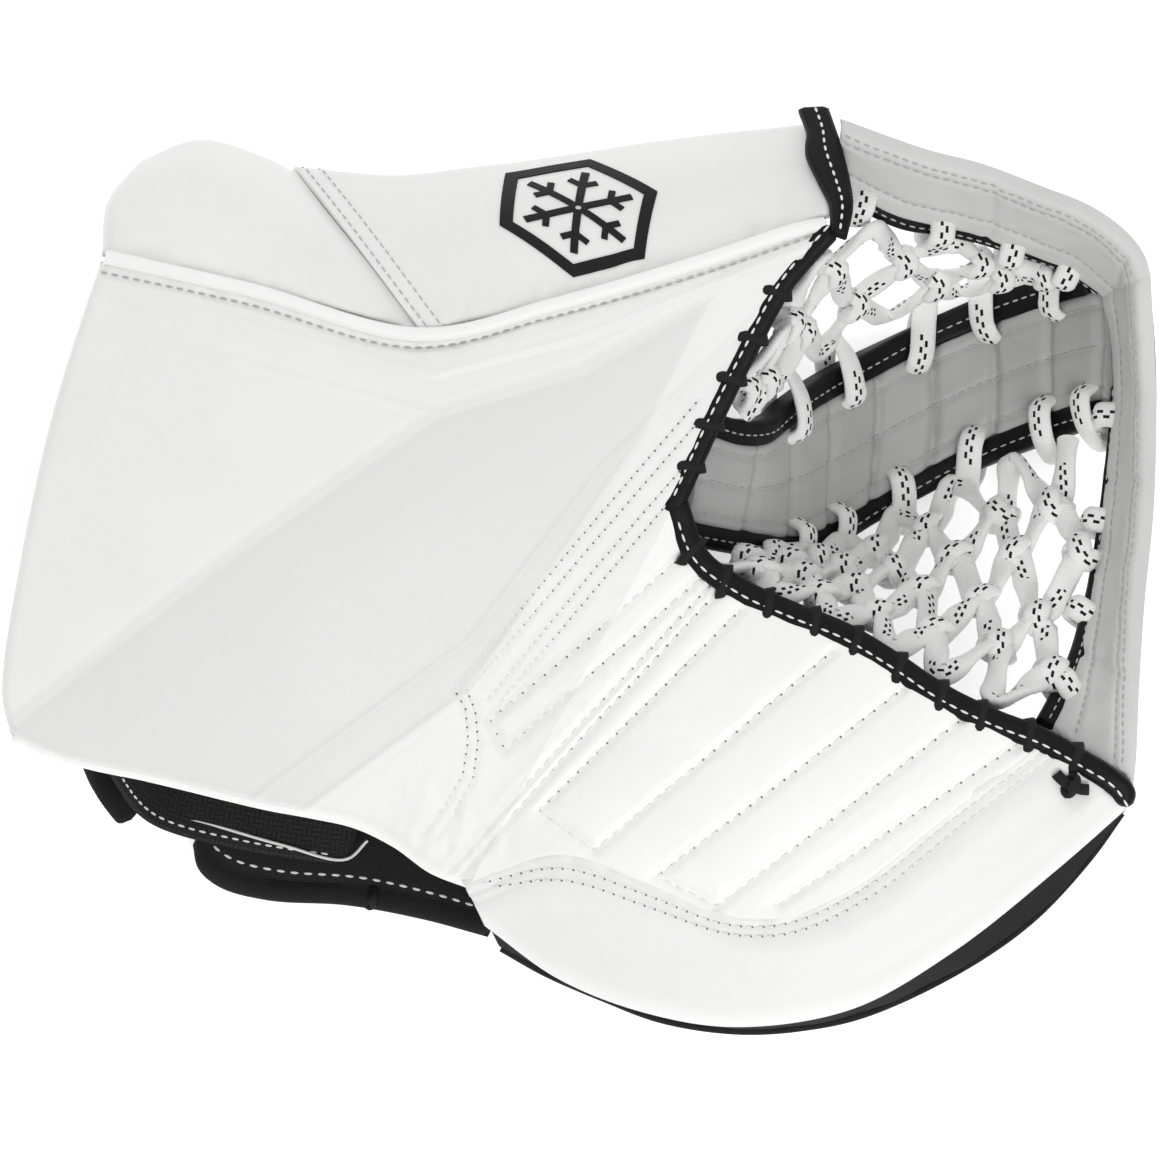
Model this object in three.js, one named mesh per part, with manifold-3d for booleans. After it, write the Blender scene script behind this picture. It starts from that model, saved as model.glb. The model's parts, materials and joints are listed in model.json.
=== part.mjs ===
// A hockey goalie's catch glove for the left hand, lying on its back with the palm side up.
//
// Lengths are millimetres on the largest pattern, and SIZE brings the whole glove to its own size.
// +X runs from the cuff to the pocket, +Y from the little finger's side to the thumb's side,
// and +Z from the back of the hand to the palm. The origin is under the middle of the glove, on the surface
// it lies on.
//
// The glove is three stiff groups. The cuff and thumb are one padded board with a side wall. The fingers
// are a second padded board, which closes towards the thumb about the break, a straight line that runs from
// the heel up the pocket's thumb edge. Between them hangs the pocket: a T of padded leather and two nets of
// knotted lace, which turns half as far as the fingers do.
import * as THREE from "three";
import Module from "manifold-3d";
import { mergeVertices } from "three/addons/utils/BufferGeometryUtils.js";

const wasm = await Module();
wasm.setup();

// ---- driving dimensions ----
const SIZE = 0.913; // of the pattern, so that the outline is the 45 inches round that a senior glove may be
const GAP = 0.3; // between pieces that touch
const EDGE_GAP = 0.9; // between a panel and its bound edge
const COVER = 2; // leather skin
const BOARD_FOAM = 12; // cuff and thumb board
const WALL_FOAM = 9; // side wall
const FINGER_FOAM = 14; // finger board
const STIFFENER = 2.5; // plastic sheet behind the foam
const LINER = 1.5; // nylon on the hand's side
const BINDING = 3.6; // folded black leather on a pocket edge, across the edge
const LACE = 3; // radius of a pocket lace's run
const THIN_LACE = 1.8; // radius of the black edge lace
const STRAP = 2.5; // webbing
const LACE_LIFT = 4; // from a board's face to the middle of its edge lace
const STALL_WALL = 1.5; // a stall's fabric
const STALL_SIDES = 6; // facets round a stall
const T_PAD = 7; // the T's stem and bars
const T_BACK = 1.6; // the skin behind them
const KNOT = 4.4; // radius of a knot in the nets
const PIPING = 1.5; // radius of the piping in the seam between the board and the side wall
const EMBLEM = 1; // the patch on the thumb's side wall
const SHELL = 3; // moulded back of the fingers
const BACK_FOAM = 6; // behind the knuckles
const HAND_COVER = 3.2; // the pad over the back of the hand
const HAND_FOAM = 9;
const THUMB_ROOM = 15; // radius of the thumb's stall
const FINGER_ROOM = 11.5; // radius of a finger's stall
const EDGE_KNOT = 3.2; // radius of the knot that ends the black lace

// Bound edges, each as its width out from the panel and its lowest and highest level on it.
const HEM = [1.6, -19, 0.4];
const THUMB_EDGE = [BINDING, -14, 1];
const FINGER_EDGE = [BINDING, -16, 1];
const STEM_EDGE = [BINDING, -1, T_PAD + 1];
const BAR_EDGE = [3, -1, T_PAD];

// Straps, by width.
const WRIST_STRAP = 26;
const WRIST_FLAP = 22;
const HAND_FLAP = 30;
const TIP_STRAP = 6;

// The middle of the whole outline, which becomes the origin.
const MIDDLE = [0.3, -1.7];

// The break: the fingers turn about this line, from the heel to the thumb's tip.
const HEEL = [-40, -114, 94];
const THUMB_TIP = [88, 124, 120];
const BREAK_CLEAR = 1.6; // from the break to the first solid on either side

// ---- colours ----
const finish = (color, roughness) => new THREE.MeshStandardMaterial({ color, roughness, metalness: 0 });
const WHITE_LEATHER = finish(0xf2f2f1, 0.45);
const BLACK_LEATHER = finish(0x0d0d0e, 0.5);
const NYLON = finish(0x141416, 0.8);
const FOAM = finish(0xd8d8d2, 0.95);
const PLASTIC = finish(0xe4e6e8, 0.4);
const WHITE_LACE = finish(0xf0f0ee, 0.85);
const BLACK_LACE = finish(0x0f0f10, 0.7);

// ---- helpers ----
const point = (p) => new THREE.Vector3(...p);
const line = (...points) => new THREE.CatmullRomCurve3(points.map(point), false, "centripetal");
const UP = new THREE.Vector3(0, 0, 1);

// A place at a share of the break's length, moved sideways from it: below zero towards the cuff, above
// zero towards the fingers.
const breakAcross = point(THUMB_TIP).sub(point(HEEL)).cross(UP).normalize();
const atBreak = (share, sideways) =>
  point(HEEL).lerp(point(THUMB_TIP), share).addScaledVector(breakAcross, sideways).toArray();

// A surface between four lines: south and north run with u, west and east with v. Crown raises its middle.
function surface({ south, north, west, east, crown = 0 }) {
  const [sw, se] = [south.getPointAt(0), south.getPointAt(1)];
  const [nw, ne] = [north.getPointAt(0), north.getPointAt(1)];
  const front = ne.clone().sub(sw).cross(nw.clone().sub(se)).normalize();
  return (u, v) => {
    const p = south.getPointAt(u).multiplyScalar(1 - v).addScaledVector(north.getPointAt(u), v);
    p.addScaledVector(west.getPointAt(v), 1 - u).addScaledVector(east.getPointAt(v), u);
    p.addScaledVector(sw, -(1 - u) * (1 - v)).addScaledVector(se, -u * (1 - v));
    p.addScaledVector(nw, -(1 - u) * v).addScaledVector(ne, -u * v);
    return p.addScaledVector(front, crown * Math.sin(Math.PI * u) * Math.sin(Math.PI * v));
  };
}

function normalOf(place, u, v) {
  const step = 0.02;
  const alongU = place(Math.min(1, u + step), v).sub(place(Math.max(0, u - step), v));
  const alongV = place(u, Math.min(1, v + step)).sub(place(u, Math.max(0, v - step)));
  return alongU.cross(alongV).normalize();
}

const raised = (points, [dx, dy, dz]) => points.map(([x, y, z]) => [x + dx, y + dy, z + dz]);

// Ways to stack the layers of a surface: straight up, squarely, or straight up along the south line and
// squarely along the north line, as a mitred corner needs.
const upright = () => UP;
const square = normalOf;
const mitred = (place, u, v) => {
  const normal = normalOf(place, u, v);
  return UP.clone().multiplyScalar((1 - v) / Math.max(0.5, normal.z)).addScaledVector(normal, v);
};

function named(name, material, geometry) {
  const mesh = new THREE.Mesh(geometry, material);
  mesh.name = name;
  return mesh;
}

// A closed body between two grids of points with the same count of columns and rows, the low one behind.
function slab(columns, rows, at) {
  const positions = [];
  const index = [];
  const id = (i, j, side) => (side * (rows + 1) + j) * (columns + 1) + i;
  const face = (a, b, c, d) => index.push(a, b, c, a, c, d);
  for (const side of [0, 1])
    for (let j = 0; j <= rows; j++)
      for (let i = 0; i <= columns; i++) positions.push(...at(i / columns, j / rows, side).toArray());
  for (let j = 0; j < rows; j++)
    for (let i = 0; i < columns; i++) {
      face(id(i, j, 1), id(i + 1, j, 1), id(i + 1, j + 1, 1), id(i, j + 1, 1));
      index.push(id(i, j, 0), id(i + 1, j + 1, 0), id(i + 1, j, 0));
      index.push(id(i, j, 0), id(i, j + 1, 0), id(i + 1, j + 1, 0));
    }
  for (let i = 0; i < columns; i++) {
    face(id(i, 0, 0), id(i + 1, 0, 0), id(i + 1, 0, 1), id(i, 0, 1));
    face(id(i + 1, rows, 0), id(i, rows, 0), id(i, rows, 1), id(i + 1, rows, 1));
  }
  for (let j = 0; j < rows; j++) {
    face(id(0, j + 1, 0), id(0, j, 0), id(0, j, 1), id(0, j + 1, 1));
    face(id(columns, j, 0), id(columns, j + 1, 0), id(columns, j + 1, 1), id(columns, j, 1));
  }
  const geometry = new THREE.BufferGeometry();
  geometry.setAttribute("position", new THREE.Float32BufferAttribute(positions, 3));
  geometry.setIndex(index);
  return geometry;
}

// One layer of a surface, from low to high in front of it, over a part of its u and v. It stops at the floor.
function layer(name, material, place, low, high, [columns, rows], options = {}) {
  const { stack = upright, over = [0, 1, 0, 1] } = options;
  const [u0, u1, v0, v1] = over;
  const at = (s, t, side) => {
    const [u, v] = [u0 + s * (u1 - u0), v0 + t * (v1 - v0)];
    const p = place(u, v).addScaledVector(stack(place, u, v), side ? high : low);
    return p.setZ(Math.max(p.z, 0));
  };
  return named(name, material, slab(columns, rows, at));
}

const EDGE_REACH = 0.05; // how far inside an edge its outward way is measured from
// The four edges of a surface, each as its course and the way in from it.
const EDGE = {
  south: [(s) => [1 - s, 0], [0, 1]],
  north: [(s) => [s, 1], [0, -1]],
  west: [(s) => [0, s], [1, 0]],
  east: [(s) => [1, 1 - s], [-1, 0]],
};

// A bound edge: leather folded over a stretch of a surface's edge, standing out from it.
function edging(name, material, place, [course, inward], [wide, low, high], steps, options = {}) {
  const { stack = upright, over = [0, 1] } = options;
  const at = (s, t, side) => {
    const [u, v] = course(over[0] + s * (over[1] - over[0]));
    const out = place(u, v).sub(place(u + inward[0] * EDGE_REACH, v + inward[1] * EDGE_REACH)).normalize();
    return place(u, v)
      .addScaledVector(out, EDGE_GAP + t * wide)
      .addScaledVector(stack(place, u, v), side ? high : low);
  };
  return named(name, material, slab(steps, 1, at));
}

// A lace's course along a bound edge, a little above the binding's middle.
function edgeLine(place, [course, inward], over) {
  const curve = new THREE.Curve();
  curve.getPoint = (t) => {
    const [u, v] = course(over[0] + t * (over[1] - over[0]));
    const out = place(u, v).sub(place(u + inward[0] * EDGE_REACH, v + inward[1] * EDGE_REACH)).normalize();
    return place(u, v).addScaledVector(out, EDGE_GAP + BINDING / 2).addScaledVector(UP, LACE_LIFT);
  };
  return curve;
}

// A stall that a finger goes in: half a sleeve that hangs below its path.
function stall(name, path, radius, steps) {
  const at = (s, t, side) => {
    const across = path.getTangentAt(s).cross(UP).normalize();
    const reach = radius + (side ? STALL_WALL : 0);
    const angle = Math.PI * (t - 0.5);
    return path
      .getPointAt(s)
      .addScaledVector(across, reach * Math.sin(angle))
      .addScaledVector(UP, -reach * Math.cos(angle));
  };
  return named(name, NYLON, slab(steps, STALL_SIDES, at));
}

// A flat band along a path. Its upper side faces the side given, which turns from the first to the last.
function band(name, material, path, width, thickness, steps, faceStart, faceEnd = faceStart) {
  const at = (s, t, side) => {
    const tangent = path.getTangentAt(s);
    const facing = point(faceStart).lerp(point(faceEnd), s);
    const across = facing.cross(tangent).normalize();
    const normal = tangent.clone().cross(across);
    return path
      .getPointAt(s)
      .addScaledVector(across, (t - 0.5) * width)
      .addScaledVector(normal, side * thickness);
  };
  return named(name, material, slab(steps, 1, at));
}

function bar(name, material, path, radius, steps, sides = 6) {
  return named(name, material, roundBar(path, radius, steps, sides));
}

function roundBar(path, radius, steps, sides) {
  const section = new THREE.Shape().absarc(0, 0, radius, 0, 2 * Math.PI);
  return new THREE.ExtrudeGeometry(section, {
    steps,
    curveSegments: sides / 2,
    bevelEnabled: false,
    extrudePath: path,
  });
}

// ---- manifold-3d: joining the runs of a net ----
function solidOf(geometry) {
  const bare = geometry.index ? geometry.toNonIndexed() : geometry.clone();
  bare.deleteAttribute("normal");
  bare.deleteAttribute("uv");
  const merged = mergeVertices(bare, 1e-4);
  return new wasm.Manifold(
    new wasm.Mesh({
      numProp: 3,
      vertProperties: merged.getAttribute("position").array,
      triVerts: new Uint32Array(merged.getIndex().array),
    }),
  );
}

function geometryOf(solid) {
  const mesh = solid.getMesh();
  return new THREE.BufferGeometry()
    .setAttribute("position", new THREE.BufferAttribute(new Float32Array(mesh.vertProperties), 3))
    .setIndex(new THREE.BufferAttribute(new Uint32Array(mesh.triVerts), 1));
}

// A diamond net of lace on a surface, with a knot wherever the column and row add up to an even number.
function net(name, place, columns, rows) {
  const knotAt = (i, j) => place(i / columns, j / rows);
  let whole = null;
  const join = (geometry) => {
    const solid = solidOf(geometry);
    whole = whole ? whole.add(solid) : solid;
  };
  for (let i = 0; i <= columns; i++)
    for (let j = i % 2; j <= rows; j += 2) {
      const knot = knotAt(i, j);
      join(new THREE.IcosahedronGeometry(KNOT, 0).translate(knot.x, knot.y, knot.z));
      for (const next of [j - 1, j + 1])
        if (i < columns && next >= 0 && next <= rows)
          join(roundBar(new THREE.LineCurve3(knot, knotAt(i + 1, next)), LACE, 1, 4));
    }
  return named(name, WHITE_LACE, geometryOf(whole));
}

// ---- outlines ----
// The cuff and thumb board.
const cuffTop = [-172, 110, 112];
const cuffCorner = [-205, -60, 106];
const cuffHeel = atBreak(0, -BREAK_CLEAR);
const thumbTip = atBreak(1, -BREAK_CLEAR);
const board = surface({
  south: line(cuffCorner, [-186, -68, 105], [-155, -75, 103], [-119, -84, 100], [-76, -94, 96], cuffHeel),
  north: line(cuffTop, [-118, 98, 116], [-57, 82, 118], [-8, 93, 119], [43, 108, 120], thumbTip),
  west: line(cuffCorner, [-208, -45, 107], [-201, 3, 110], [-188, 60, 112], cuffTop),
  east: line(
    cuffHeel,
    atBreak(0.3, -BREAK_CLEAR),
    atBreak(0.575, -BREAK_CLEAR),
    atBreak(0.8, -6),
    thumbTip,
  ),
  crown: 9,
});

// The side wall falls back from the board's upper seam. A slanting seam parts its two pads.
const slantFoot = [-57, 86, 117];
const slantHead = [-99, 144, 62];
const slantMiddle = [-79, 116, 92];
const cuffWall = surface({
  south: line([-172, 114, 111], [-118, 102, 115], slantFoot),
  north: line([-161, 147, 72], [-138, 154, 64], slantHead),
  west: line([-172, 114, 111], [-171, 132, 93], [-161, 147, 72]),
  east: line(slantFoot, slantMiddle, slantHead),
  crown: 6,
});
const SLANT_GAP = 0.8;
const beside = ([x, y, z]) => [x + SLANT_GAP, y, z];
const thumbWall = surface({
  south: line(beside(slantFoot), [-8, 97, 118], [43, 112, 119], [84, 127, 118]),
  north: line(beside(slantHead), [-69, 141, 61], [-36, 145, 62], [21, 155, 67], [80, 165, 80]),
  west: line(beside(slantFoot), beside(slantMiddle), beside(slantHead)),
  east: line([84, 127, 118], [86, 147, 101], [80, 165, 80]),
  crown: 5,
});

// The finger board: a channelled field beside the break, and a smooth rim round its outside.
const crotch = atBreak(0.575, BREAK_CLEAR);
const fieldHeel = atBreak(0.035, BREAK_CLEAR);
const fieldCorner = [74, -125, 124];
const fieldTip = [164, -62, 131];
const fingerTip = [196, -84, 134];
const pocketEdge = line(crotch, [43, 1, 108], [64, -12, 110], [97, -26, 117], [133, -49, 126], fieldTip);
const field = surface({
  south: line(fieldHeel, [-8, -103, 106], [21, -112, 114], [50, -124, 120], fieldCorner),
  north: pocketEdge,
  west: line(fieldHeel, atBreak(0.3, BREAK_CLEAR), crotch),
  east: line(fieldCorner, [100, -112, 127], [129, -89, 130], fieldTip),
  crown: 5,
});
const outline = [
  [-28, -133, 95],
  [-8, -149, 100],
  [25, -161, 108],
  [57, -165, 115],
  [97, -158, 122],
  [133, -137, 128],
  [169, -108, 132],
  fingerTip,
];
const rimHeel = [-33, -118, 94];
const rimTip = [167, -66, 130];
const rim = surface({
  south: line(...outline),
  north: line(
    rimHeel,
    [-8, -106, 105],
    [21, -115, 113],
    [50, -128, 119],
    [76, -130, 123],
    [103, -115, 126],
    [133, -92, 129],
    rimTip,
  ),
  west: line(outline[0], rimHeel),
  east: line(fingerTip, rimTip),
  crown: 4,
});

// The back of the fingers, from the outline across to behind the knuckles.
const backTip = [188, -88, 102];
const backOutline = [
  [-22, -134, 58],
  [-2, -153, 58],
  [28, -166, 64],
  [60, -169, 72],
  [99, -162, 82],
  [136, -140, 92],
  [172, -110, 98],
  backTip,
];
const fingerBack = surface({
  south: line(...backOutline),
  north: line([30, -36, 46], [66, -40, 54], [97, -50, 66], [133, -64, 80], [180, -84, 100]),
  west: line([-22, -134, 58], [2, -84, 40], [30, -36, 46]),
  east: line(backTip, [180, -84, 100]),
  crown: -4.4,
});

// The T: a stem that sags from the crotch to the bars, and two bars that carry the pocket's rim.
const stem = surface({
  south: line([60, 12, 68], [76, 12, 38], [100, 25, 11], [133, 45, 1.6], [168, 56, 13], [190, 61, 34]),
  north: line([64, 43, 68], [78, 48, 36], [104, 64, 11], [140, 79, 1.6], [170, 86, 14], [188, 93, 34]),
  west: line([60, 12, 68], [64, 43, 68]),
  east: line([190, 61, 34], [188, 93, 34]),
});
const upperBar = surface({
  south: line([98, 138, 84], [133, 125, 72], [165, 114, 59], [187, 104, 48], [196, 92, 44]),
  north: line([98, 159, 106], [133, 147, 105], [167, 133, 100], [190, 119, 95], [204, 99, 89]),
  west: line([98, 138, 84], [99, 151, 94], [98, 159, 106]),
  east: line([196, 92, 44], [203, 97, 66], [204, 99, 89]),
});
const lowerBar = surface({
  south: line([198, 88, 44], [199, 60, 42], [194, 17, 47], [190, -19, 64], [186, -46, 86]),
  north: line([206, 95, 88], [208, 60, 85], [209, 10, 90], [207, -35, 106], [203, -62, 120]),
  west: line([198, 88, 44], [204, 92, 66], [206, 95, 88]),
  east: line([186, -46, 86], [196, -55, 103], [203, -62, 120]),
});

// The nets hang behind the edges that they are laced to.
const upperNet = surface({
  south: line(
    [60, 56, 82],
    [74, 62, 50],
    [94, 76, 26],
    [118, 88, 18],
    [140, 96, 16],
    [160, 100, 28],
    [172, 103, 40],
  ),
  north: line([94, 124, 96], [112, 120, 74], [134, 113, 60], [156, 105, 50], [174, 104, 43]),
  west: line([60, 56, 82], [74, 84, 90], [94, 124, 96]),
  east: line([172, 103, 40], [174, 104, 43]),
});
const lowerNet = surface({
  south: line([72, 12, 94], [84, 4, 94], [108, -8, 100], [140, -26, 106], [168, -38, 106]),
  north: line([82, 6, 60], [92, 8, 36], [110, 16, 18], [138, 33, 12], [164, 43, 22], [176, 47, 34]),
  west: line([72, 12, 94], [82, 6, 60]),
  east: line([168, -38, 106], [176, -16, 72], [182, 16, 50], [176, 47, 34]),
});

// The back of the hand, which the glove lies on.
const backhand = surface({
  south: line([-132, -108, 9.5], [-92, -127, 6.5], [-42, -131, 11.5]),
  north: line([-96, 0, 11.5], [-40, -4, 8.5], [10, -36, 17.5]),
  west: line([-132, -108, 9.5], [-116, -50, 7.5], [-96, 0, 11.5]),
  east: line([-42, -131, 11.5], [-14, -86, 13.5], [10, -36, 17.5]),
  crown: -4.4,
});

// ---- the cuff and thumb ----
const cuffThumb = new THREE.Group();

// A padded panel from front to back: skin, foam, a plastic sheet where the panel is stiff, and a lining.
function panel(prefix, place, grid, foam, stiff, stack) {
  const foamTop = -(COVER + GAP);
  const stiffTop = foamTop - foam - GAP;
  const linerTop = stiff ? stiffTop - STIFFENER - GAP : stiffTop;
  const pieces = [
    layer(`${prefix}_cover`, WHITE_LEATHER, place, -COVER, 0, grid, { stack }),
    layer(`${prefix}_foam`, FOAM, place, foamTop - foam, foamTop, grid, { stack }),
    layer(`${prefix}_liner`, NYLON, place, linerTop - LINER, linerTop, grid, { stack }),
  ];
  if (stiff) {
    const low = stiffTop - STIFFENER;
    pieces.push(layer(`${prefix}_stiffener`, PLASTIC, place, low, stiffTop, grid, { stack }));
  }
  return pieces;
}

const pipingPath = line(
  [-170, 112, 115],
  [-118, 100, 119],
  [-57, 84, 121],
  [-8, 95, 122],
  [43, 110, 123],
  [76, 121, 122.5],
);
const tipPath = line([89, 164, 90], [93, 147, 104], [92, 130, 115]);
const thumbPath = line([-34, -16, 84], [8, 42, 87], [46, 94, 90]);
const wristPath = line([-178, -58, 78], [-176, -74, 52], [-158, -88, 27], [-122, -94, 19], [-84, -98, 18]);
cuffThumb.add(
  ...panel("cuff_thumb_board", board, [12, 10], BOARD_FOAM, true, upright),
  ...panel("cuff_side_wall", cuffWall, [6, 4], WALL_FOAM, false, mitred),
  ...panel("thumb_side_wall", thumbWall, [8, 4], WALL_FOAM, false, mitred),
  bar("side_wall_piping", WHITE_LEATHER, pipingPath, PIPING, 14),
  layer("emblem_patch", BLACK_LEATHER, thumbWall, GAP, GAP + EMBLEM, [4, 4], {
    stack: mitred,
    over: [0.32, 0.68, 0.08, 0.96],
  }),
  edging("cuff_edge_binding", WHITE_LEATHER, board, EDGE.west, HEM, 10),
  edging("cuff_hem_binding", WHITE_LEATHER, board, EDGE.south, HEM, 12),
  edging("thumb_edge_binding", BLACK_LEATHER, board, EDGE.east, THUMB_EDGE, 4, { over: [0, 0.4] }),
  bar("thumb_edge_lace", BLACK_LACE, edgeLine(board, EDGE.east, [0.02, 0.38]), THIN_LACE, 12),
  band("thumb_tip_strap", BLACK_LEATHER, tipPath, TIP_STRAP, STRAP, 4, [0.2, 0.55, 0.8]),
  stall("thumb_stall", thumbPath, THUMB_ROOM, 6),
  layer("backhand_pad_cover", NYLON, backhand, -HAND_COVER, 0, [8, 6]),
  layer("backhand_pad_foam", FOAM, backhand, GAP, GAP + HAND_FOAM, [8, 6]),
  band("wrist_strap", NYLON, wristPath, WRIST_STRAP, STRAP, 10, [1, 0.2, 0.3], [0, 0, 1]),
);

// ---- the fingers ----
const gusset = surface({
  south: line(...raised(backOutline, [0, 3, 6.8])),
  north: line(...raised(outline, [0, 3, -18.8])),
  west: line([-22, -131, 64.8], [-28, -130, 76.2]),
  east: line([188, -85, 108.8], [196, -81, 115.2]),
});
const fingers = new THREE.Group();
fingers.add(
  ...panel("palm", field, [9, 8], FINGER_FOAM, true, upright),
  layer("finger_rim_cover", WHITE_LEATHER, rim, -COVER, 0, [14, 3]),
  layer("finger_rim_foam", FOAM, rim, -COVER - GAP - FINGER_FOAM, -COVER - GAP, [14, 3]),
  layer("finger_back_shell", NYLON, fingerBack, -SHELL, 0, [12, 5]),
  layer("finger_back_foam", FOAM, fingerBack, GAP, GAP + BACK_FOAM, [12, 5]),
  layer("finger_side_gusset", NYLON, gusset, -LINER, 0, [12, 1], { stack: square }),
  edging("finger_tip_binding", BLACK_LEATHER, rim, EDGE.east, FINGER_EDGE, 3),
  edging("finger_edge_binding", BLACK_LEATHER, field, EDGE.north, FINGER_EDGE, 8, { over: [1 / 9, 1] }),
  bar("finger_edge_lace", BLACK_LACE, edgeLine(field, EDGE.north, [1 / 8, 0.98]), THIN_LACE, 20),
  named("finger_lace_knot", BLACK_LACE, new THREE.SphereGeometry(EDGE_KNOT, 8, 6).translate(176, -77, 137.5)),
);
// Stalls run from the break towards the tip: their distance along the break, and height at both ends.
const STALLS = { index: [128, 84, 90], middle: [101, 81, 90], ring: [74, 78, 88], little: [47, 74, 86] };
const breakAlong = point(THUMB_TIP).sub(point(HEEL)).setZ(0).normalize();
for (const [finger, [distance, nearZ, farZ]] of Object.entries(STALLS)) {
  const knuckle = point(HEEL).addScaledVector(breakAlong, distance);
  const at = (reach, z) => knuckle.clone().addScaledVector(breakAcross, reach).setZ(z).toArray();
  const path = line(at(14, nearZ), at(55, (nearZ + farZ) / 2), at(96, farZ));
  fingers.add(stall(`${finger}_finger_stall`, path, FINGER_ROOM, 4));
}

// ---- the pocket ----
const pocket = new THREE.Group();
const tPiece = (name, place, grid) => [
  layer(`${name}_pad`, WHITE_LEATHER, place, 0, T_PAD, grid, { stack: square }),
  layer(`${name}_backing`, BLACK_LEATHER, place, -GAP - T_BACK, -GAP, grid, { stack: square }),
];
const tEdge = (name, place, edge, size, steps, over = [0, 1]) =>
  edging(name, BLACK_LEATHER, place, edge, size, steps, { stack: square, over });
pocket.add(
  ...tPiece("t_stem", stem, [12, 3]),
  ...tPiece("t_upper_bar", upperBar, [10, 2]),
  ...tPiece("t_lower_bar", lowerBar, [12, 2]),
  tEdge("t_stem_upper_binding", stem, EDGE.north, STEM_EDGE, 12),
  tEdge("t_stem_lower_binding", stem, EDGE.south, STEM_EDGE, 12),
  tEdge("t_upper_bar_binding", upperBar, EDGE.south, BAR_EDGE, 9, [0, 0.9]),
  tEdge("t_lower_bar_binding", lowerBar, EDGE.south, BAR_EDGE, 9, [0.25, 1]),
  net("upper_pocket_lace", upperNet, 8, 3),
  net("lower_pocket_lace", lowerNet, 8, 4),
);

// ---- the two flaps that close the straps ----
const wristFlap = line([-182.5, -60, 76], [-180.5, -76, 50], [-162, -92, 23]);
const backhandFlap = line([10, -84, 31], [7, -86, 17], [-5, -88, 6.6], [-18, -90, 3.9], [-28, -91, 3]);
const flaps = [
  band("wrist_strap_flap", NYLON, wristFlap, WRIST_FLAP, STRAP, 6, [-1, -0.4, -0.3], [-0.5, 0, -1]),
  band("backhand_strap_flap", NYLON, backhandFlap, HAND_FLAP, STRAP, 8, [1, 0, 0], [0, 0, -1]),
];

const group = new THREE.Group();
group.add(cuffThumb, fingers, pocket, ...flaps);
group.scale.setScalar(SIZE);
group.position.set(-MIDDLE[0] * SIZE, -MIDDLE[1] * SIZE, 0);
export default group;
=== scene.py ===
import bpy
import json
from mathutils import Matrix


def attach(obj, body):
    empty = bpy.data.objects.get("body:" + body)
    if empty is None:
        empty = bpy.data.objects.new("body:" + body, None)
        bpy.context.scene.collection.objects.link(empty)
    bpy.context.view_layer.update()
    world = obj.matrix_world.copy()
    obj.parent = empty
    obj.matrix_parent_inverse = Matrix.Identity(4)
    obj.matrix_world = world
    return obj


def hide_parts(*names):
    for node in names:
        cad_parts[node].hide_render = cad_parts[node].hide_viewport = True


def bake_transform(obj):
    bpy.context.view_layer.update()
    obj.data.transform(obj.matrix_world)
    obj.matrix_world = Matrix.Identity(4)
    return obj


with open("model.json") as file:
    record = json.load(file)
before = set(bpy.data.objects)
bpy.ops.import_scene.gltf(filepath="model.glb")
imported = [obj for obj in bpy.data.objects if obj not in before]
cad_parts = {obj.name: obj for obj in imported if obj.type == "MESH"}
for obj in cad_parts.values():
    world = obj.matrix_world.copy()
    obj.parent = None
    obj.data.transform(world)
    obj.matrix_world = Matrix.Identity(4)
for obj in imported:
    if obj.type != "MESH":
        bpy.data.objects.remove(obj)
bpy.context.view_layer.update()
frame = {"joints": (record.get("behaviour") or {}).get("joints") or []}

import json
import math

import bpy
import numpy as np
from mathutils import Vector, noise
from mathutils.bvhtree import BVHTree

# ---- the table that the glove lies on, the light and the camera ----
# The glove lies on its back on a pale table, palm up, and is seen from straight above through a long
# lens. A soft light hangs high on the little finger's side, a broader and weaker one stands lower on the
# thumb's side, and the room and a faint glow of the table fill the rest.
VIEW_WIDTH = 0.3813  # what the lens takes in at the height of the palm
PALM_HEIGHT = 0.091
CAMERA_RISE = 1.73
VIEW_CENTRE = (-0.0006, -0.0024)
SENSOR = 36  # millimetres
TABLE_HALF = 3
TABLE_LEVEL = -0.0005
TABLE_WHITE, TABLE_ROUGHNESS, TABLE_GLOW = 0.95, 0.8, 0.5
ROOM_LIGHT = 0.6

scene = bpy.context.scene
scene.view_settings.view_transform = "Standard"
lens = bpy.data.cameras.new("camera")
lens.sensor_width = SENSOR
lens.lens = SENSOR * CAMERA_RISE / VIEW_WIDTH
lens.clip_end = 20
camera = bpy.data.objects.new("camera", lens)
camera.location = (*VIEW_CENTRE, PALM_HEIGHT + CAMERA_RISE)
scene.collection.objects.link(camera)
scene.camera = camera

room = bpy.data.worlds.new("room")
scene.world = room
room.use_nodes = True
room.node_tree.nodes["Background"].inputs["Color"].default_value = (1, 1, 1, 1)
room.node_tree.nodes["Background"].inputs["Strength"].default_value = ROOM_LIGHT


def soft_light(name, place, size, power):
    light = bpy.data.lights.new(name, "AREA")
    light.size, light.energy = size, power
    lamp = bpy.data.objects.new(name, light)
    lamp.location = place
    lamp.rotation_euler = (Vector((0, 0, PALM_HEIGHT)) - Vector(place)).to_track_quat("-Z", "Y").to_euler()
    scene.collection.objects.link(lamp)


soft_light("key", (0.3, -0.8, 1.45), 0.7, 11.2)
soft_light("fill", (-0.3, 1.4, 0.9), 1.0, 5)

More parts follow.
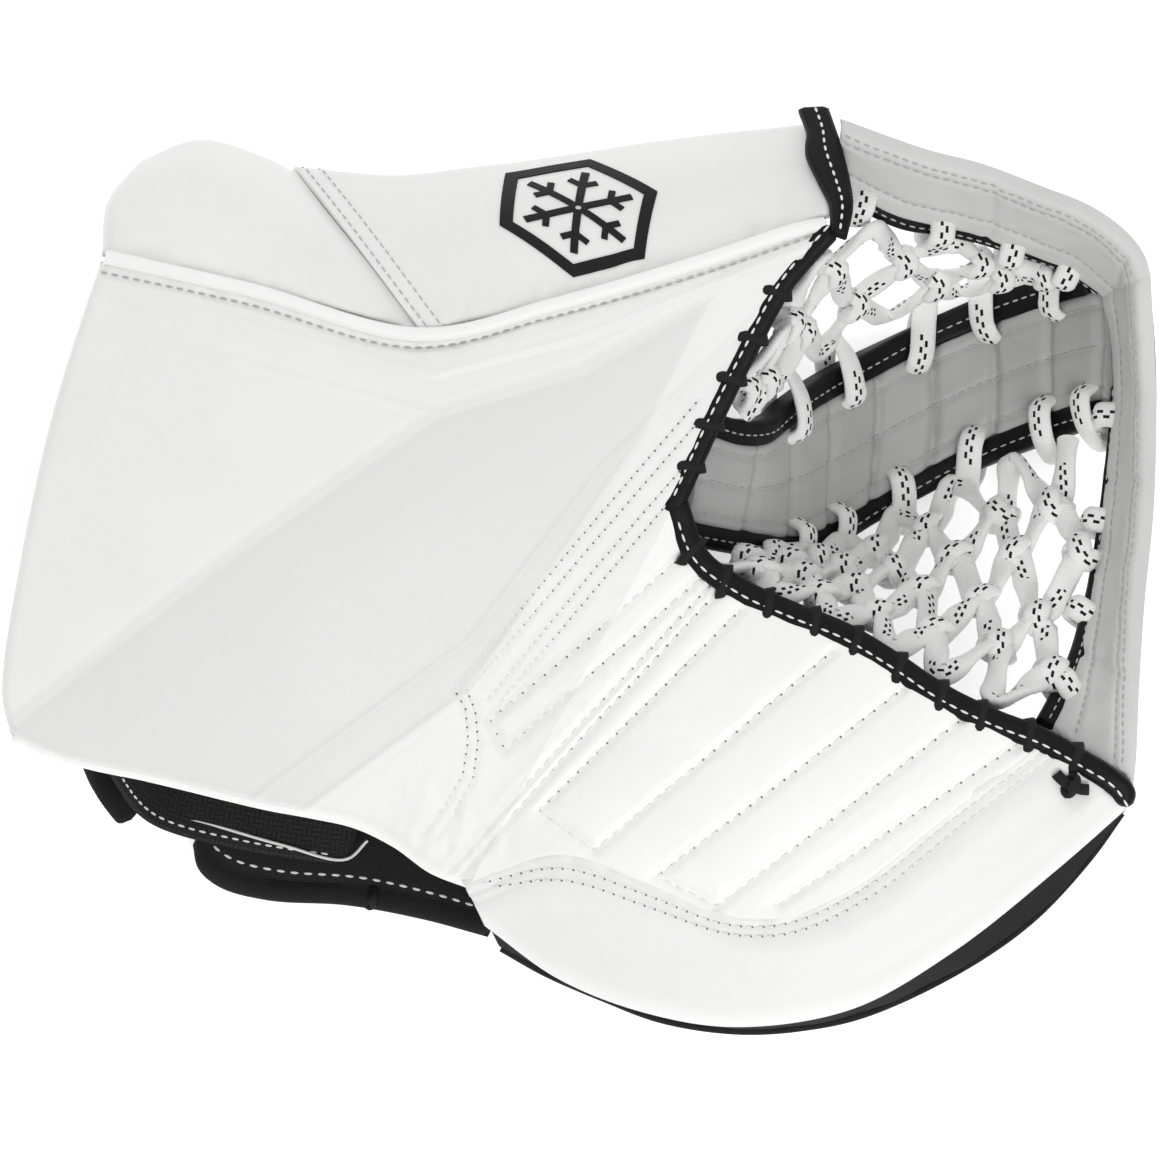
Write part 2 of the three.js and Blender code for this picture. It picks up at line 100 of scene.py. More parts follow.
table_mesh = bpy.data.meshes.new("table")
corners = ((-1, -1), (1, -1), (1, 1), (-1, 1))
table_points = [(x * TABLE_HALF, y * TABLE_HALF, TABLE_LEVEL) for x, y in corners]
table_mesh.from_pydata(table_points, [], [(0, 1, 2, 3)])
table = bpy.data.objects.new("table", table_mesh)
scene.collection.objects.link(table)
table_paint = bpy.data.materials.new("table")
table_paint.use_nodes = True
table_shader = table_paint.node_tree.nodes["Principled BSDF"]
table_shader.inputs["Base Color"].default_value = (TABLE_WHITE, TABLE_WHITE, TABLE_WHITE, 1)
table_shader.inputs["Roughness"].default_value = TABLE_ROUGHNESS
table_shader.inputs["Emission Color"].default_value = (1, 1, 1, 1)
table_shader.inputs["Emission Strength"].default_value = TABLE_GLOW
table_mesh.materials.append(table_paint)

# ---- the cuff and thumb board ----
# The long board over the wrist and the thumb's base: foam and a plastic sheet inside a white synthetic
# leather skin that rolls over its edges, with thin inlaid bands, and a black nylon lining behind.
# Lengths are pattern millimetres, as in the glove's outlines, and metres() brings them to the frame.
SIZE = 0.913  # of the glove against its pattern
BREAK_HEEL = np.array((-40.0, -114.0, 94.0))
THUMB_TIP = np.array((88.0, 124.0, 120.0))
UP = np.array((0.0, 0.0, 1.0))
close = next(joint for joint in frame["joints"] if joint["name"] == "finger_close")
MM = SIZE / 1000


def metres(points):
    """Places on the pattern, in millimetres, as places in the frame."""
    return np.array(close["pos_m"]) + (np.asarray(points, float) - BREAK_HEEL) * MM


def unit(vectors):
    return vectors / np.maximum(np.linalg.norm(vectors, axis=-1, keepdims=True), 1e-9)


BREAK_ACROSS = unit(np.cross(THUMB_TIP - BREAK_HEEL, UP))


def at_break(share, sideways=0.0):
    """A place at a share of the break's length, moved sideways to the fingers' side."""
    return tuple(BREAK_HEEL + share * (THUMB_TIP - BREAK_HEEL) + sideways * BREAK_ACROSS)


def line(*points, steps=30):
    """A smooth curve through the points, as a function from the share of its length to the place."""
    p = np.array(points, float)
    p = np.array([2 * p[0] - p[1], *p, 2 * p[-1] - p[-2]])
    t = np.linspace(0, 1, steps, endpoint=False)[:, None]
    path = []
    for a, b, c, d in zip(p, p[1:], p[2:], p[3:]):
        before, here, after = (max(np.linalg.norm(gap), 1e-3) ** 0.5 for gap in (b - a, c - b, d - c))
        start = here * ((b - a) / before - (c - a) / (before + here) + (c - b) / here)
        stop = here * ((c - b) / here - (d - b) / (here + after) + (d - c) / after)
        square, cube = t**2, t**3
        path.append(
            b + start * t + (3 * (c - b) - 2 * start - stop) * square + (2 * (b - c) + start + stop) * cube
        )
    path = np.array([*np.concatenate(path), p[-2]])
    length = np.concatenate([[0], np.cumsum(np.linalg.norm(np.diff(path, axis=0), axis=1))])

    def place(share):
        return np.stack([np.interp(np.asarray(share) * length[-1], length, path[:, k]) for k in range(3)], -1)

    place.length = length[-1]
    return place


def surface(south, north, west, east, crown=0):
    """The surface between four curves, its middle raised by crown, as a function of u and v."""
    sw, se, nw, ne = south(0), south(1), north(0), north(1)
    front = unit(np.cross(ne - sw, nw - se))

    def place(u, v):
        u, v = np.broadcast_arrays(np.asarray(u, float), np.asarray(v, float))
        a, b = u[..., None], v[..., None]
        p = (1 - b) * south(u) + b * north(u) + (1 - a) * west(v) + a * east(v)
        p = p - (1 - a) * (1 - b) * sw - a * (1 - b) * se - (1 - a) * b * nw - a * b * ne
        return p + front * crown * np.sin(np.pi * a) * np.sin(np.pi * b)

    return place


def between(south, north, crown=0):
    """The surface between two curves, with straight ends."""
    return surface(south, north, *[line(south(end), north(end)) for end in (0, 1)], crown=crown)


def facing(place, u, v, step=0.01):
    """The way that a surface faces."""
    along = place(np.minimum(1, u + step), v) - place(np.maximum(0, u - step), v)
    across = place(u, np.minimum(1, v + step)) - place(u, np.maximum(0, v - step))
    return unit(np.cross(along, across))


def shares(length, spacing, near=(0.4, 1.3, 2.6, 4.2)):
    """Shares of a side's length, even but for closer ones where the edges roll over."""
    ends = np.array([0, *near]) / length
    if ends[-1] > 0.4:
        return np.linspace(0, 1, 9)
    even = np.linspace(0, 1, max(2, round(length / spacing)) + 1)
    inner = even[(even > ends[-1] * 1.15) & (even < 1 - ends[-1] * 1.15)]
    return np.concatenate([ends, inner, 1 - ends[::-1]])


def edge_distances(p):
    """How far each point of a grid is from its west, east, south and north edges, along the surface."""
    def run(points):
        steps = np.linalg.norm(np.diff(points, axis=0), axis=2)
        return np.concatenate([np.zeros((1, points.shape[1])), np.cumsum(steps, 0)])
    along, up = run(p), run(p.swapaxes(0, 1)).T
    return along, along[-1:] - along, up, up[:, -1:] - up


def rolled(distances, radii):
    """How far a face drops beside edges that roll over with these radii."""
    near = [np.clip(1 - d / r, 0, 1) if r else np.zeros_like(d) for d, r in zip(distances, radii)]
    whole = np.sqrt(np.minimum(1, sum(x * x for x in near)))
    radius = np.max([np.where(x > 0, r, 0) for x, r in zip(near, radii)], axis=0)
    return radius * (1 - np.sqrt(1 - whole**2))


def closed_mesh(name, *slabs):
    """One piece of closed slabs, each a front grid, a back grid and their UV map's grid."""
    places, faces, flat, first = [], [], [], 0
    for top, bottom, uv in slabs:
        columns, rows = top.shape[:2]
        back = columns * rows
        i, j = np.meshgrid(np.arange(columns - 1), np.arange(rows - 1), indexing="ij")
        a, b = (i * rows + j).ravel(), ((i + 1) * rows + j).ravel()
        made = [np.stack([a, b, b + 1, a + 1], 1), np.stack([a, a + 1, b + 1, b], 1) + back]
        i, j = np.arange(columns - 1), np.arange(rows - 1)
        for start, stop in (
            ((i + 1) * rows, i * rows),
            (i * rows + rows - 1, (i + 1) * rows + rows - 1),
            (j, j + 1),
            ((columns - 1) * rows + j + 1, (columns - 1) * rows + j),
        ):
            made.append(np.stack([start, stop, stop + back, start + back], 1))
        faces.append(np.concatenate(made) + first)
        places += [top.reshape(-1, 3), bottom.reshape(-1, 3)]
        flat += [uv.reshape(-1, 2)] * 2
        first += 2 * back
    faces = np.concatenate(faces)
    mesh = bpy.data.meshes.new(name)
    mesh.from_pydata(metres(np.concatenate(places)).tolist(), [], faces.tolist())
    flat_corners = np.concatenate(flat)[faces.ravel()] * MM
    mesh.uv_layers.new(name="UVMap").data.foreach_set("uv", flat_corners.ravel())
    mesh.shade_smooth()
    mesh.set_sharp_from_angle(angle=math.radians(60))
    piece = bpy.data.objects.new(name, mesh)
    scene.collection.objects.link(piece)
    return piece


def upright(place, u, v):
    return np.broadcast_to(UP, (*np.shape(u), 3))


def mitred(place, u, v):
    """Upright along the south edge and square along the north edge, as a corner between panels needs."""
    normal = facing(place, u, v)
    return (1 - v[..., None]) * UP / np.maximum(0.5, normal[..., 2:]) + v[..., None] * normal


def pad(
    name, place, thick, relief=None, roll=(4, 4, 4, 4), spacing=1.4, stack=upright, raised=0.0, behind=None
):
    """A padded piece. Its face is the surface, raised, shaped by relief and rolled over at its west,
    east, south and north edges. Its back lies thick behind, and may have a relief of its own."""
    rough = place(*np.meshgrid(np.linspace(0, 1, 30), np.linspace(0, 1, 30), indexing="ij"))
    sides = [distance.max() for distance in edge_distances(rough)]
    u, v = np.meshgrid(shares(sides[0], spacing), shares(sides[2], spacing), indexing="ij")
    p = place(u, v)
    way = stack(place, u, v)
    distances = edge_distances(p)
    face = raised - rolled(distances, roll) + (relief(p, u, v, distances) if relief else 0)
    back = raised - thick - (behind(p, u, v, distances) if behind else 0) + 0 * u
    top, bottom = p + way * face[..., None], p + way * back[..., None]
    return closed_mesh(name, (top, bottom, np.stack([distances[0], distances[2]], -1)))


def from_row(p, row):
    """How far each point is from a row of places, seen from above."""
    row = np.array(row, float)[:, :2]
    best = np.full(p.shape[:-1], 999.0)
    for a, b in zip(row, row[1:]):
        ab = b - a
        t = np.clip(((p[..., :2] - a) @ ab) / (ab @ ab), 0, 1)[..., None]
        best = np.minimum(best, np.linalg.norm(p[..., :2] - a - t * ab, axis=-1))
    return best


def bumpy(p, size, seed=0):
    """Smooth noise from -1 to 1 over a grid, with features of a size."""
    offset = Vector((seed * 7.1, seed * 3.7, seed * 1.3))
    values = [noise.noise(Vector(q) + offset) for q in (p.reshape(-1, 3) / size).tolist()]
    return np.array(values).reshape(p.shape[:-1])


def uneven(depth, size, seed):
    """A relief that is only a little uneven, as worn leather is."""
    return lambda p, u, v, distances: depth * bumpy(p, size, seed)


def bell(distance, wide):
    return np.exp(-((distance / wide) ** 2))


# Rows of stitching on both boards, from above. Four fine rows run up beside the break, two of them bend
# to the heel, and the channels let the fingers' board curl.
FINE_ROWS = [
    [(42, 60), (-1, 10), (-45.4, -43.9)],
    [(43, 53.5), (1, 5), (-40.7, -44.6)],
    [(43.5, 44), (6, 1), (-32.8, -46.5)],
    [(41, 35), (9, -3), (-28.4, -47.5)],
    [(-45.4, -43.9), (-41.5, -50.5), (-40.6, -61.9), (-42.5, -74.5), (-49, -86), (-57, -96)],
    [(-40.7, -44.6), (-38, -51.5), (-37, -62), (-38.8, -75.8), (-45.5, -88), (-52.5, -97)],
]
CHANNEL_ROWS = [
    [(36, 4), (1, -27), (-32.8, -54.7), (-27.4, -65.5), (6, -36), (45, -2)],
    [(48, -4.5), (0, -56), (-32, -92), (-48, -110)],
    [(50.5, -7), (3, -58), (-29, -94), (-44.5, -112)],
    [(57.2, -15), (-15.1, -87.5), (4.7, -101.2)],
    [(89.6, -30), (4.7, -101.2)],
    [(114.8, -43), (27, -110.2), (48.6, -120.6)],
    [(136.4, -53), (48.6, -120.6)],
    [(154.4, -63), (70.9, -119.6)],
]
HEEL_CREASE = (-44, -100, 0)


def across_break(p):
    return (p - BREAK_HEEL) @ BREAK_ACROSS


def face_relief(p):
    """What both boards share beside the break: sewn grooves, an eased valley and the heel's creases."""
    shaped = 1.3 * np.clip(1 - np.abs(across_break(p)) / 13, 0, 1) ** 2
    fine = np.min([from_row(p, row) for row in FINE_ROWS], axis=0)
    channel = np.min([from_row(p, row) for row in CHANNEL_ROWS], axis=0)
    puckers = bumpy(p, 3.4, 2)
    shaped = shaped - 0.55 * bell(fine, 1.1) + 0.4 * bell(fine, 4) * puckers
    shaped = shaped - 1.5 * bell(channel, 1.7) + 0.45 * bell(channel, 5) * puckers
    heel = bell(np.linalg.norm(p[..., :2] - HEEL_CREASE[:2], axis=-1), 20)
    return shaped + 1.3 * heel * bumpy(p * (1, 0.4, 1), 5, 3) + 0.5 * bumpy(p, 34, 1)


CUFF_TOP = (-172, 110, 112)
CUFF_CORNER = (-205, -60, 106)
cuff_west = line(CUFF_CORNER, (-208, -45, 107), (-201, 3, 110), (-188, 60, 112), CUFF_TOP)
cuff_south = line(
    CUFF_CORNER, (-186, -68, 105), (-155, -75, 103), (-119, -84, 100), (-76, -94, 96), (-55, -108, 94.5),
    at_break(0),
)
board_north = line(
    CUFF_TOP, (-118, 98, 116), (-57, 82, 118), (-8, 93, 119), (43, 108, 120), at_break(1)
)
thumb_east = line(at_break(0), at_break(0.3), at_break(0.575), at_break(0.8, -4.4), at_break(1))
board = surface(cuff_south, board_north, cuff_west, thumb_east, crown=9)
INLAYS = [
    [(-176, 103), (-116, 86.5), (-52, 69), (0, 82.5), (92, 119)],
    [(-180, 89), (-116, 71.5), (-52, 55), (0, 70.5), (46, 96)],
    [(-52, 55), (-128, 3), (-207, -57)],
    [(-119, -84), (-40, -26), (7, 35), (66, 93)],
    [(-100, -88), (-40, -44), (21, 46)],
]


def inside(p, outline):
    """Which points of a grid lie in an outline, seen from above."""
    within = np.zeros(p.shape[:-1], bool)
    for a, b in zip(outline, [*outline[1:], outline[0]]):
        level = (a[1] > p[..., 1]) != (b[1] > p[..., 1])
        crossing = a[0] + (p[..., 1] - a[1]) * (b[0] - a[0]) / (b[1] - a[1] or 1e-9)
        within ^= level & (p[..., 0] < crossing)
    return within


def board_relief(p, u, v, distances):
    seam = distances[3]
    inlay = np.min([from_row(p, row) for row in INLAYS], axis=0)
    shaped = face_relief(p) + 0.4 * bell(inlay, 1.1) - 0.22 * bell(inlay - 2.4, 1.2)
    shaped = shaped + 1.1 * bell(seam, 9) * bumpy(p * (1, 0.25, 0.25), 6, 5)
    # A groove under the piping, and the skin lifting behind it.
    return shaped - 1.5 * bell(seam - 4, 1.4) + 1.1 * bell(seam - 13, 7)


cuff_board = pad("cuff_thumb_board_skin", board, 18.2, board_relief, roll=(3.5, 0, 4, 2.2))
grid = np.array([v.co for v in cuff_board.data.vertices]) - np.array(close["pos_m"])
grid = grid / MM + BREAK_HEEL
PANEL = [*INLAYS[2], (-205, -62), (-160, -110), *INLAYS[4], *INLAYS[1][:2:-1]]
within = np.where(inside(grid, PANEL), 1, -1) * from_row(grid, [*PANEL, PANEL[0]])
panel_share = np.clip(0.5 + within / 2, 0, 1)
cuff_board.data.attributes.new("panel", "FLOAT", "POINT").data.foreach_set("value", panel_share)
board_lining = pad("cuff_thumb_board_lining", board, 1.6, roll=(1, 1, 1, 1), spacing=4, raised=-18.6)
HEM_OUT, HEM_IN = (0, -2.4, -4), (0, 3, -4)
hem_run = cuff_south(np.linspace(0, 1, 12))
hem_face = between(line(*(hem_run + HEM_OUT)), line(*(hem_run + HEM_IN)))
cuff_hem = pad("cuff_hem", hem_face, 13, uneven(0.4, 7, 21), roll=(1, 1, 2.6, 2.6), spacing=2)


class Socket:
    """An output of a node, with arithmetic that adds Math nodes."""

    def __init__(self, tree, socket):
        self.tree, self.socket = tree, socket

    def math(self, operation, *values, clamp=False):
        settings = {"operation": operation, "use_clamp": clamp}
        return self.tree.node("ShaderNodeMath", settings, dict(enumerate(values)))[0]

    def __add__(self, other):
        return self.math("ADD", self, other)

    def __radd__(self, other):
        return self.math("ADD", other, self)

    def __sub__(self, other):
        return self.math("SUBTRACT", self, other)

    def __rsub__(self, other):
        return self.math("SUBTRACT", other, self)

    def __mul__(self, other):
        return self.math("MULTIPLY", self, other)

    def __rmul__(self, other):
        return self.math("MULTIPLY", other, self)

    def __gt__(self, other):
        return self.math("GREATER_THAN", self, other)

    def __lt__(self, other):
        return self.math("LESS_THAN", self, other)

    def __abs__(self):
        return self.math("ABSOLUTE", self)

    def sin(self):
        return self.math("SINE", self)

    def fraction(self):
        return self.math("FRACT", self)

    def clamped(self):
        return self.math("ADD", self, 0, clamp=True)


class Tree:
    """A node tree, for a material or for Geometry Nodes."""

    def __init__(self, tree):
        self.tree = tree

    def node(self, kind, settings=None, values=None):
        """Adds a node, sets its settings, then its sockets to values or links. Gives its outputs."""
        made = self.tree.nodes.new(kind)
        for name, value in (settings or {}).items():
            setattr(made, name, value)
        for name, value in (values or {}).items():
            socket = made.inputs[name]
            if isinstance(value, Socket):
                self.tree.links.new(value.socket, socket)
            else:
                socket.default_value = value
        return Outputs(self, made)


class Outputs:
    def __init__(self, tree, made):
        self.tree, self.made = tree, made

    def __getitem__(self, name):
        return Socket(self.tree, self.made.outputs[name])


def material(name, roughness, **uniform):
    """A new material, its tree, and a function that links sockets of its shader."""
    made = bpy.data.materials.new(name)
    made.use_nodes = True
    shader = made.node_tree.nodes["Principled BSDF"]
    shader.inputs["Roughness"].default_value = roughness
    sockets = {socket.name.lower().replace(" ", "_"): socket for socket in shader.inputs}
    for key, value in uniform.items():
        sockets[key].default_value = value

    def link(**values):
        for key, value in values.items():
            made.node_tree.links.new(value.socket, sockets[key])

    return made, Tree(made.node_tree), link


def grey(value):
    return (value, value, value * 0.995, 1)


def mixed(tree, share, dark, light):
    """A colour between two, by a share."""
    return tree.node("ShaderNodeMix", {"data_type": "RGBA"}, {0: share, 6: dark, 7: light})[2]


def leather(name, dark, light, roughness, crease=0.00022, shine=0.4, panel=None):
    """Coated synthetic leather: pebble grain, fine creases, and a tone that drifts a little."""
    made, tree, link = material(name, roughness, specular_ior_level=shine)
    place = tree.node("ShaderNodeTexCoord")["Object"]
    drift = tree.node("ShaderNodeTexNoise", {}, {"Vector": place, "Scale": 30, "Detail": 4})["Fac"]
    pebbles = tree.node("ShaderNodeTexVoronoi", {}, {"Vector": place, "Scale": 1400})["Distance"]
    wrinkles = {"Vector": place, "Scale": 200, "Detail": 5, "Roughness": 0.6}
    creases = tree.node("ShaderNodeTexNoise", {}, wrinkles)["Fac"]
    tone = (drift * 0.7 + creases * 0.3).clamped()
    pebble_relief = {"Strength": 0.5, "Distance": 0.00008, "Height": pebbles}
    fine = tree.node("ShaderNodeBump", {}, pebble_relief)["Normal"]
    coarse = {"Strength": 0.5, "Distance": crease, "Height": creases, "Normal": fine}
    normal = tree.node("ShaderNodeBump", {}, coarse)["Normal"]
    gloss = (drift * 0.16 + creases * 0.1 + (roughness - 0.13)).clamped()
    color = mixed(tree, tone, grey(dark), grey(light))
    if panel:
        on_panel = tree.node("ShaderNodeAttribute", {"attribute_name": "panel"})["Fac"]
        color = mixed(tree, on_panel, color, grey(panel))
    link(base_color=color, roughness=gloss, normal=normal)
    return made


def weave(name, dark, light, pitch, roughness=0.85, depth=0.00014):
    """Plain woven nylon: threads over and under at a pitch in metres, along the piece's own UV map."""
    made, tree, link = material(name, roughness, specular_ior_level=0.2)
    uv = tree.node("ShaderNodeUVMap", {"uv_map": "UVMap"})["UV"]
    xyz = tree.node("ShaderNodeSeparateXYZ", {}, {0: uv})
    turn = math.pi / pitch
    warp, weft = abs((xyz[0] * turn).sin()), abs((xyz[1] * turn).sin())
    over = ((xyz[0] * turn * 0.5).sin() * (xyz[1] * turn * 0.5).sin() * 6 + 0.5).clamped()
    height = warp * over + weft * (1 - over)
    place = tree.node("ShaderNodeTexCoord")["Object"]
    fluff = {"Vector": place, "Scale": 70, "Detail": 6, "Roughness": 0.7}
    lint = tree.node("ShaderNodeTexNoise", {}, fluff)["Fac"]
    tone = (height * 0.6 + lint * 0.5).clamped()
    normal = tree.node("ShaderNodeBump", {}, {"Strength": 0.7, "Distance": depth, "Height": height})["Normal"]
    link(base_color=mixed(tree, tone, grey(dark), grey(light)), normal=normal)
    return made


WHITE_LEATHER = leather("white_leather", 0.86, 0.95, 0.47)
BOARD_LEATHER = leather("board_leather", 0.78, 0.87, 0.47, panel=0.74)
BLACK_LEATHER = leather("black_leather", 0.003, 0.009, 0.48, shine=0.16)
BLACK_NYLON = weave("black_nylon", 0.004, 0.024, 0.0011)


def finish(piece, body, paint, slot, *nodes, fill=None):
    """Gives a piece its material and body, and hides the CAD nodes that it stands for. Its slot is not used.
    """
    if paint:
        piece.data.materials.append(paint)
    if body:
        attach(piece, body)
    if nodes:
        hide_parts(*nodes)
    return piece


board_nodes = (
    "cuff_thumb_board_cover", "cuff_thumb_board_foam", "cuff_thumb_board_stiffener", "cuff_edge_binding",
)
finish(cuff_board, "cuff_thumb", BOARD_LEATHER, "white_leather", *board_nodes, fill=0.9)
finish(board_lining, "cuff_thumb", BLACK_NYLON, "black_nylon", "cuff_thumb_board_liner")
finish(cuff_hem, "cuff_thumb", WHITE_LEATHER, "white_leather", "cuff_hem_binding", fill=0.8)

# ---- the fingers' board: palm field and rim ----
# The palm's field is white leather over ribs of foam, sewn through between the ribs so that it curls.
# A smooth fat rim goes round its outside, sewn to it with two rows.
FIELD_CORNER = (74, -125, 124)
FIELD_TIP = (164, -62, 131)
FINGER_TIP = (196, -84, 134)
field_edge = line(
    at_break(0.575), (43, 1, 108), (64, -12, 110), (97, -26, 117), (133, -49, 126), FIELD_TIP
)
field = surface(
    line(at_break(0), (-8, -103, 106), (21, -112, 114), (50, -124, 120), FIELD_CORNER),
    field_edge,
    line(at_break(0), at_break(0.3), at_break(0.575)),
    line(FIELD_CORNER, (100, -112, 127), (129, -89, 130), FIELD_TIP),
    crown=5,
)
OUTLINE = [
    (-35, -130, 94), (-8, -149, 100), (25, -161, 108), (57, -165, 115),
    (97, -158, 122), (133, -137, 128), (169, -108, 132), FINGER_TIP,
]
RIM_SEAM = [
    (-43, -113, 94.5), (-8, -101, 106), (21, -109.5, 114), (50, -121.5, 120),
    (71, -121.5, 123.3), (98, -109, 126.6), (127, -86, 130), (162.5, -59.5, 131),
]
rim = between(line(*OUTLINE), line(*RIM_SEAM), crown=4)


def field_relief(p, u, v, distances):
    channel = np.min([from_row(p, row) for row in CHANNEL_ROWS], axis=0)
    ribs = np.sqrt(np.minimum(1, channel / 9))
    return face_relief(p) + 1.6 * (ribs - 0.4) * np.clip(across_break(p) / 20, 0, 1)


def rim_relief(p, u, v, distances):
    seam = distances[3]
    shaped = 1.0 * bell(seam, 11) * bumpy(p, 6, 8) + 0.5 * bumpy(p, 30, 9)
    return shaped - 1.0 * bell(seam - 5.6, 1.1) - 0.8 * bell(seam - 9, 1.1) + 1.1 * bell(seam - 15, 6)


palm = pad("palm_skin", field, 18.5, field_relief, roll=(0, 1.2, 1.2, 3), spacing=1.1)
finish(palm, "fingers", WHITE_LEATHER, "white_leather", "palm_cover", "palm_foam", "palm_stiffener",
       fill=0.85)
palm_lining = pad("palm_lining", field, 1.6, roll=(1, 1, 1, 1), spacing=4, raised=-18.9)
finish(palm_lining, "fingers", BLACK_NYLON, "black_nylon", "palm_liner")
rim_pad = pad("finger_rim", rim, 16.5, rim_relief, roll=(1.5, 3, 12, 3.4), spacing=1.4)
finish(rim_pad, "fingers", BOARD_LEATHER, "white_leather", "finger_rim_cover", "finger_rim_foam", fill=0.95)

# ---- the side wall and its piping ----
# Two padded pieces fall back from the board's upper seam, and lap along a slanting seam with two rows of
# stitches. White piping fills the seam at the top, with a row of slanting stitches just under it.
SLANT_FOOT, SLANT_MIDDLE, SLANT_HEAD = (-57, 84, 118), (-83, 119, 91), (-107, 150, 61)
slant = line(SLANT_FOOT, SLANT_MIDDLE, SLANT_HEAD)
cuff_wall = surface(
    line((-172, 112, 112), (-118, 100, 116), SLANT_FOOT),
    line((-163, 150, 72), (-140, 160, 64), SLANT_HEAD),
    line((-172, 112, 112), (-172, 134, 93), (-163, 150, 72)),
    slant,
    crown=6,
)
thumb_wall = surface(
    line(SLANT_FOOT, (-8, 95, 119), (43, 110, 120), (90, 126, 118.5)),
    line(SLANT_HEAD, (-69, 147, 60), (-36, 150, 61), (21, 158, 67), (83, 164.5, 82)),
    slant,
    line((90, 126, 118.5), (89, 146, 102), (83, 164.5, 82)),
    crown=5,
)


def wall_puckers(p, distances, seed):
    gathers = bell(distances[2], 12) * bumpy(p * (1, 0.3, 0.3), 7, seed)
    return 1.3 * gathers + 0.6 * bumpy(p, 30, seed + 1)


def cuff_wall_relief(p, u, v, distances):
    return wall_puckers(p, distances, 11) - 1.4 * bell(distances[1], 6)


def thumb_wall_relief(p, u, v, distances):
    sewn_lap = bell(distances[0] - 3, 1.1) + bell(distances[0] - 8.5, 1.1)
    return wall_puckers(p, distances, 14) + 0.8 * bell(distances[0], 12) - 0.6 * sewn_lap


def side_pad(name, place, relief, roll):
    piece = pad(name, place, 12.6, relief, roll=roll, stack=mitred)
    nodes = [f"{name}_{layer}" for layer in ("cover", "foam", "liner")]
    return finish(piece, "cuff_thumb", BOARD_LEATHER, "white_leather", *nodes, fill=0.9)


side_pad("cuff_side_wall", cuff_wall, cuff_wall_relief, (6, 0, 3, 8))
thumb_side = side_pad("thumb_side_wall", thumb_wall, thumb_wall_relief, (0.8, 3, 3, 7))


def recipe(name, **inputs):
    """Starts a node group. Gives its tree, its input node, and a function that ends the group and gives
    it with its inputs' identifiers."""
    group = bpy.data.node_groups.new(name, "GeometryNodeTree")
    group.interface.new_socket("path", in_out="INPUT", socket_type="NodeSocketGeometry")
    keys = {}
    for key, kind in inputs.items():
        socket = group.interface.new_socket(key, in_out="INPUT", socket_type=f"NodeSocket{kind}")
        keys[key] = socket.identifier
    group.interface.new_socket("made", in_out="OUTPUT", socket_type="NodeSocketGeometry")
    tree = Tree(group)
    given = tree.node("NodeGroupInput")

    def end(geometry):
        single = tree.node("GeometryNodeRealizeInstances", {}, {"Geometry": geometry})["Geometry"]
        values = {"Geometry": single, "Material": given["paint"]}
        painted = tree.node("GeometryNodeSetMaterial", {}, values)["Geometry"]
        tree.node("NodeGroupOutput", {}, {"made": painted})
        return group, keys

    return tree, given, end


def along(name, paths, made_by, ways=None, **settings):
    """A piece made by a recipe along paths. Ways are the ways that a flat profile faces."""
    group, keys = made_by
    places = metres(np.concatenate(paths))
    first, edges = 0, []
    for path in paths:
        edges += [(first + k, first + k + 1) for k in range(len(path) - 1)]
        if np.linalg.norm(np.asarray(path[0]) - path[-1]) < 0.01:
            edges[-1] = (first + len(path) - 2, first)
        first += len(path)
    mesh = bpy.data.meshes.new(name)
    mesh.from_pydata(places.tolist(), edges, [])
    facing_ways = np.concatenate(ways) if ways else np.tile(UP, (len(places), 1))
    mesh.attributes.new("facing", "FLOAT_VECTOR", "POINT").data.foreach_set("vector", facing_ways.ravel())
    piece = bpy.data.objects.new(name, mesh)
    scene.collection.objects.link(piece)
    modifier = piece.modifiers.new("made", "NODES")
    modifier.node_group = group
    for key, value in settings.items():
        modifier[keys[key]] = value
    view = bpy.context.evaluated_depsgraph_get()
    made = bpy.data.meshes.new_from_object(piece.evaluated_get(view))
    piece.modifiers.clear()
    piece.data = made
    made.name = name
    return piece


def sweep_recipe():
    """A profile swept along the path, wide and thick, flat towards the way it faces. It keeps how far it
    has run and how far across a point lies, for the braid of a lace."""
    tree, given, end = recipe("sweep", wide="Float", thick="Float", sides="Int", paint="Material")
    path = tree.node("GeometryNodeMeshToCurve", {}, {"Mesh": given["path"]})["Curve"]
    way = tree.node("GeometryNodeInputNamedAttribute", {"data_type": "FLOAT_VECTOR"}, {"Name": "facing"})
    turned = {"Curve": path, "Normal": way["Attribute"]}
    path = tree.node("GeometryNodeSetCurveNormal", {"mode": "FREE"}, turned)
    run = tree.node("GeometryNodeSplineParameter")["Length"]
    measured = {"Geometry": path["Curve"], "Name": "run", "Value": run}
    path = tree.node("GeometryNodeStoreNamedAttribute", {}, measured)
    round_section = {"Resolution": given["sides"], "Radius": 0.5}
    circle = tree.node("GeometryNodeCurvePrimitiveCircle", {}, round_section)["Curve"]
    xyz = tree.node("ShaderNodeSeparateXYZ", {}, {0: tree.node("GeometryNodeInputPosition")["Position"]})
    stored = {"Geometry": circle, "Name": "side", "Value": xyz[1]}
    circle = tree.node("GeometryNodeStoreNamedAttribute", {}, stored)["Geometry"]
    size = tree.node("ShaderNodeCombineXYZ", {}, {0: given["thick"], 1: given["wide"], 2: 1.0})["Vector"]
    profile = tree.node("GeometryNodeTransform", {}, {"Geometry": circle, "Scale": size})["Geometry"]
    swept = {"Curve": path["Geometry"], "Profile Curve": profile, "Fill Caps": True}
    return end(tree.node("GeometryNodeCurveToMesh", {}, swept)["Mesh"])


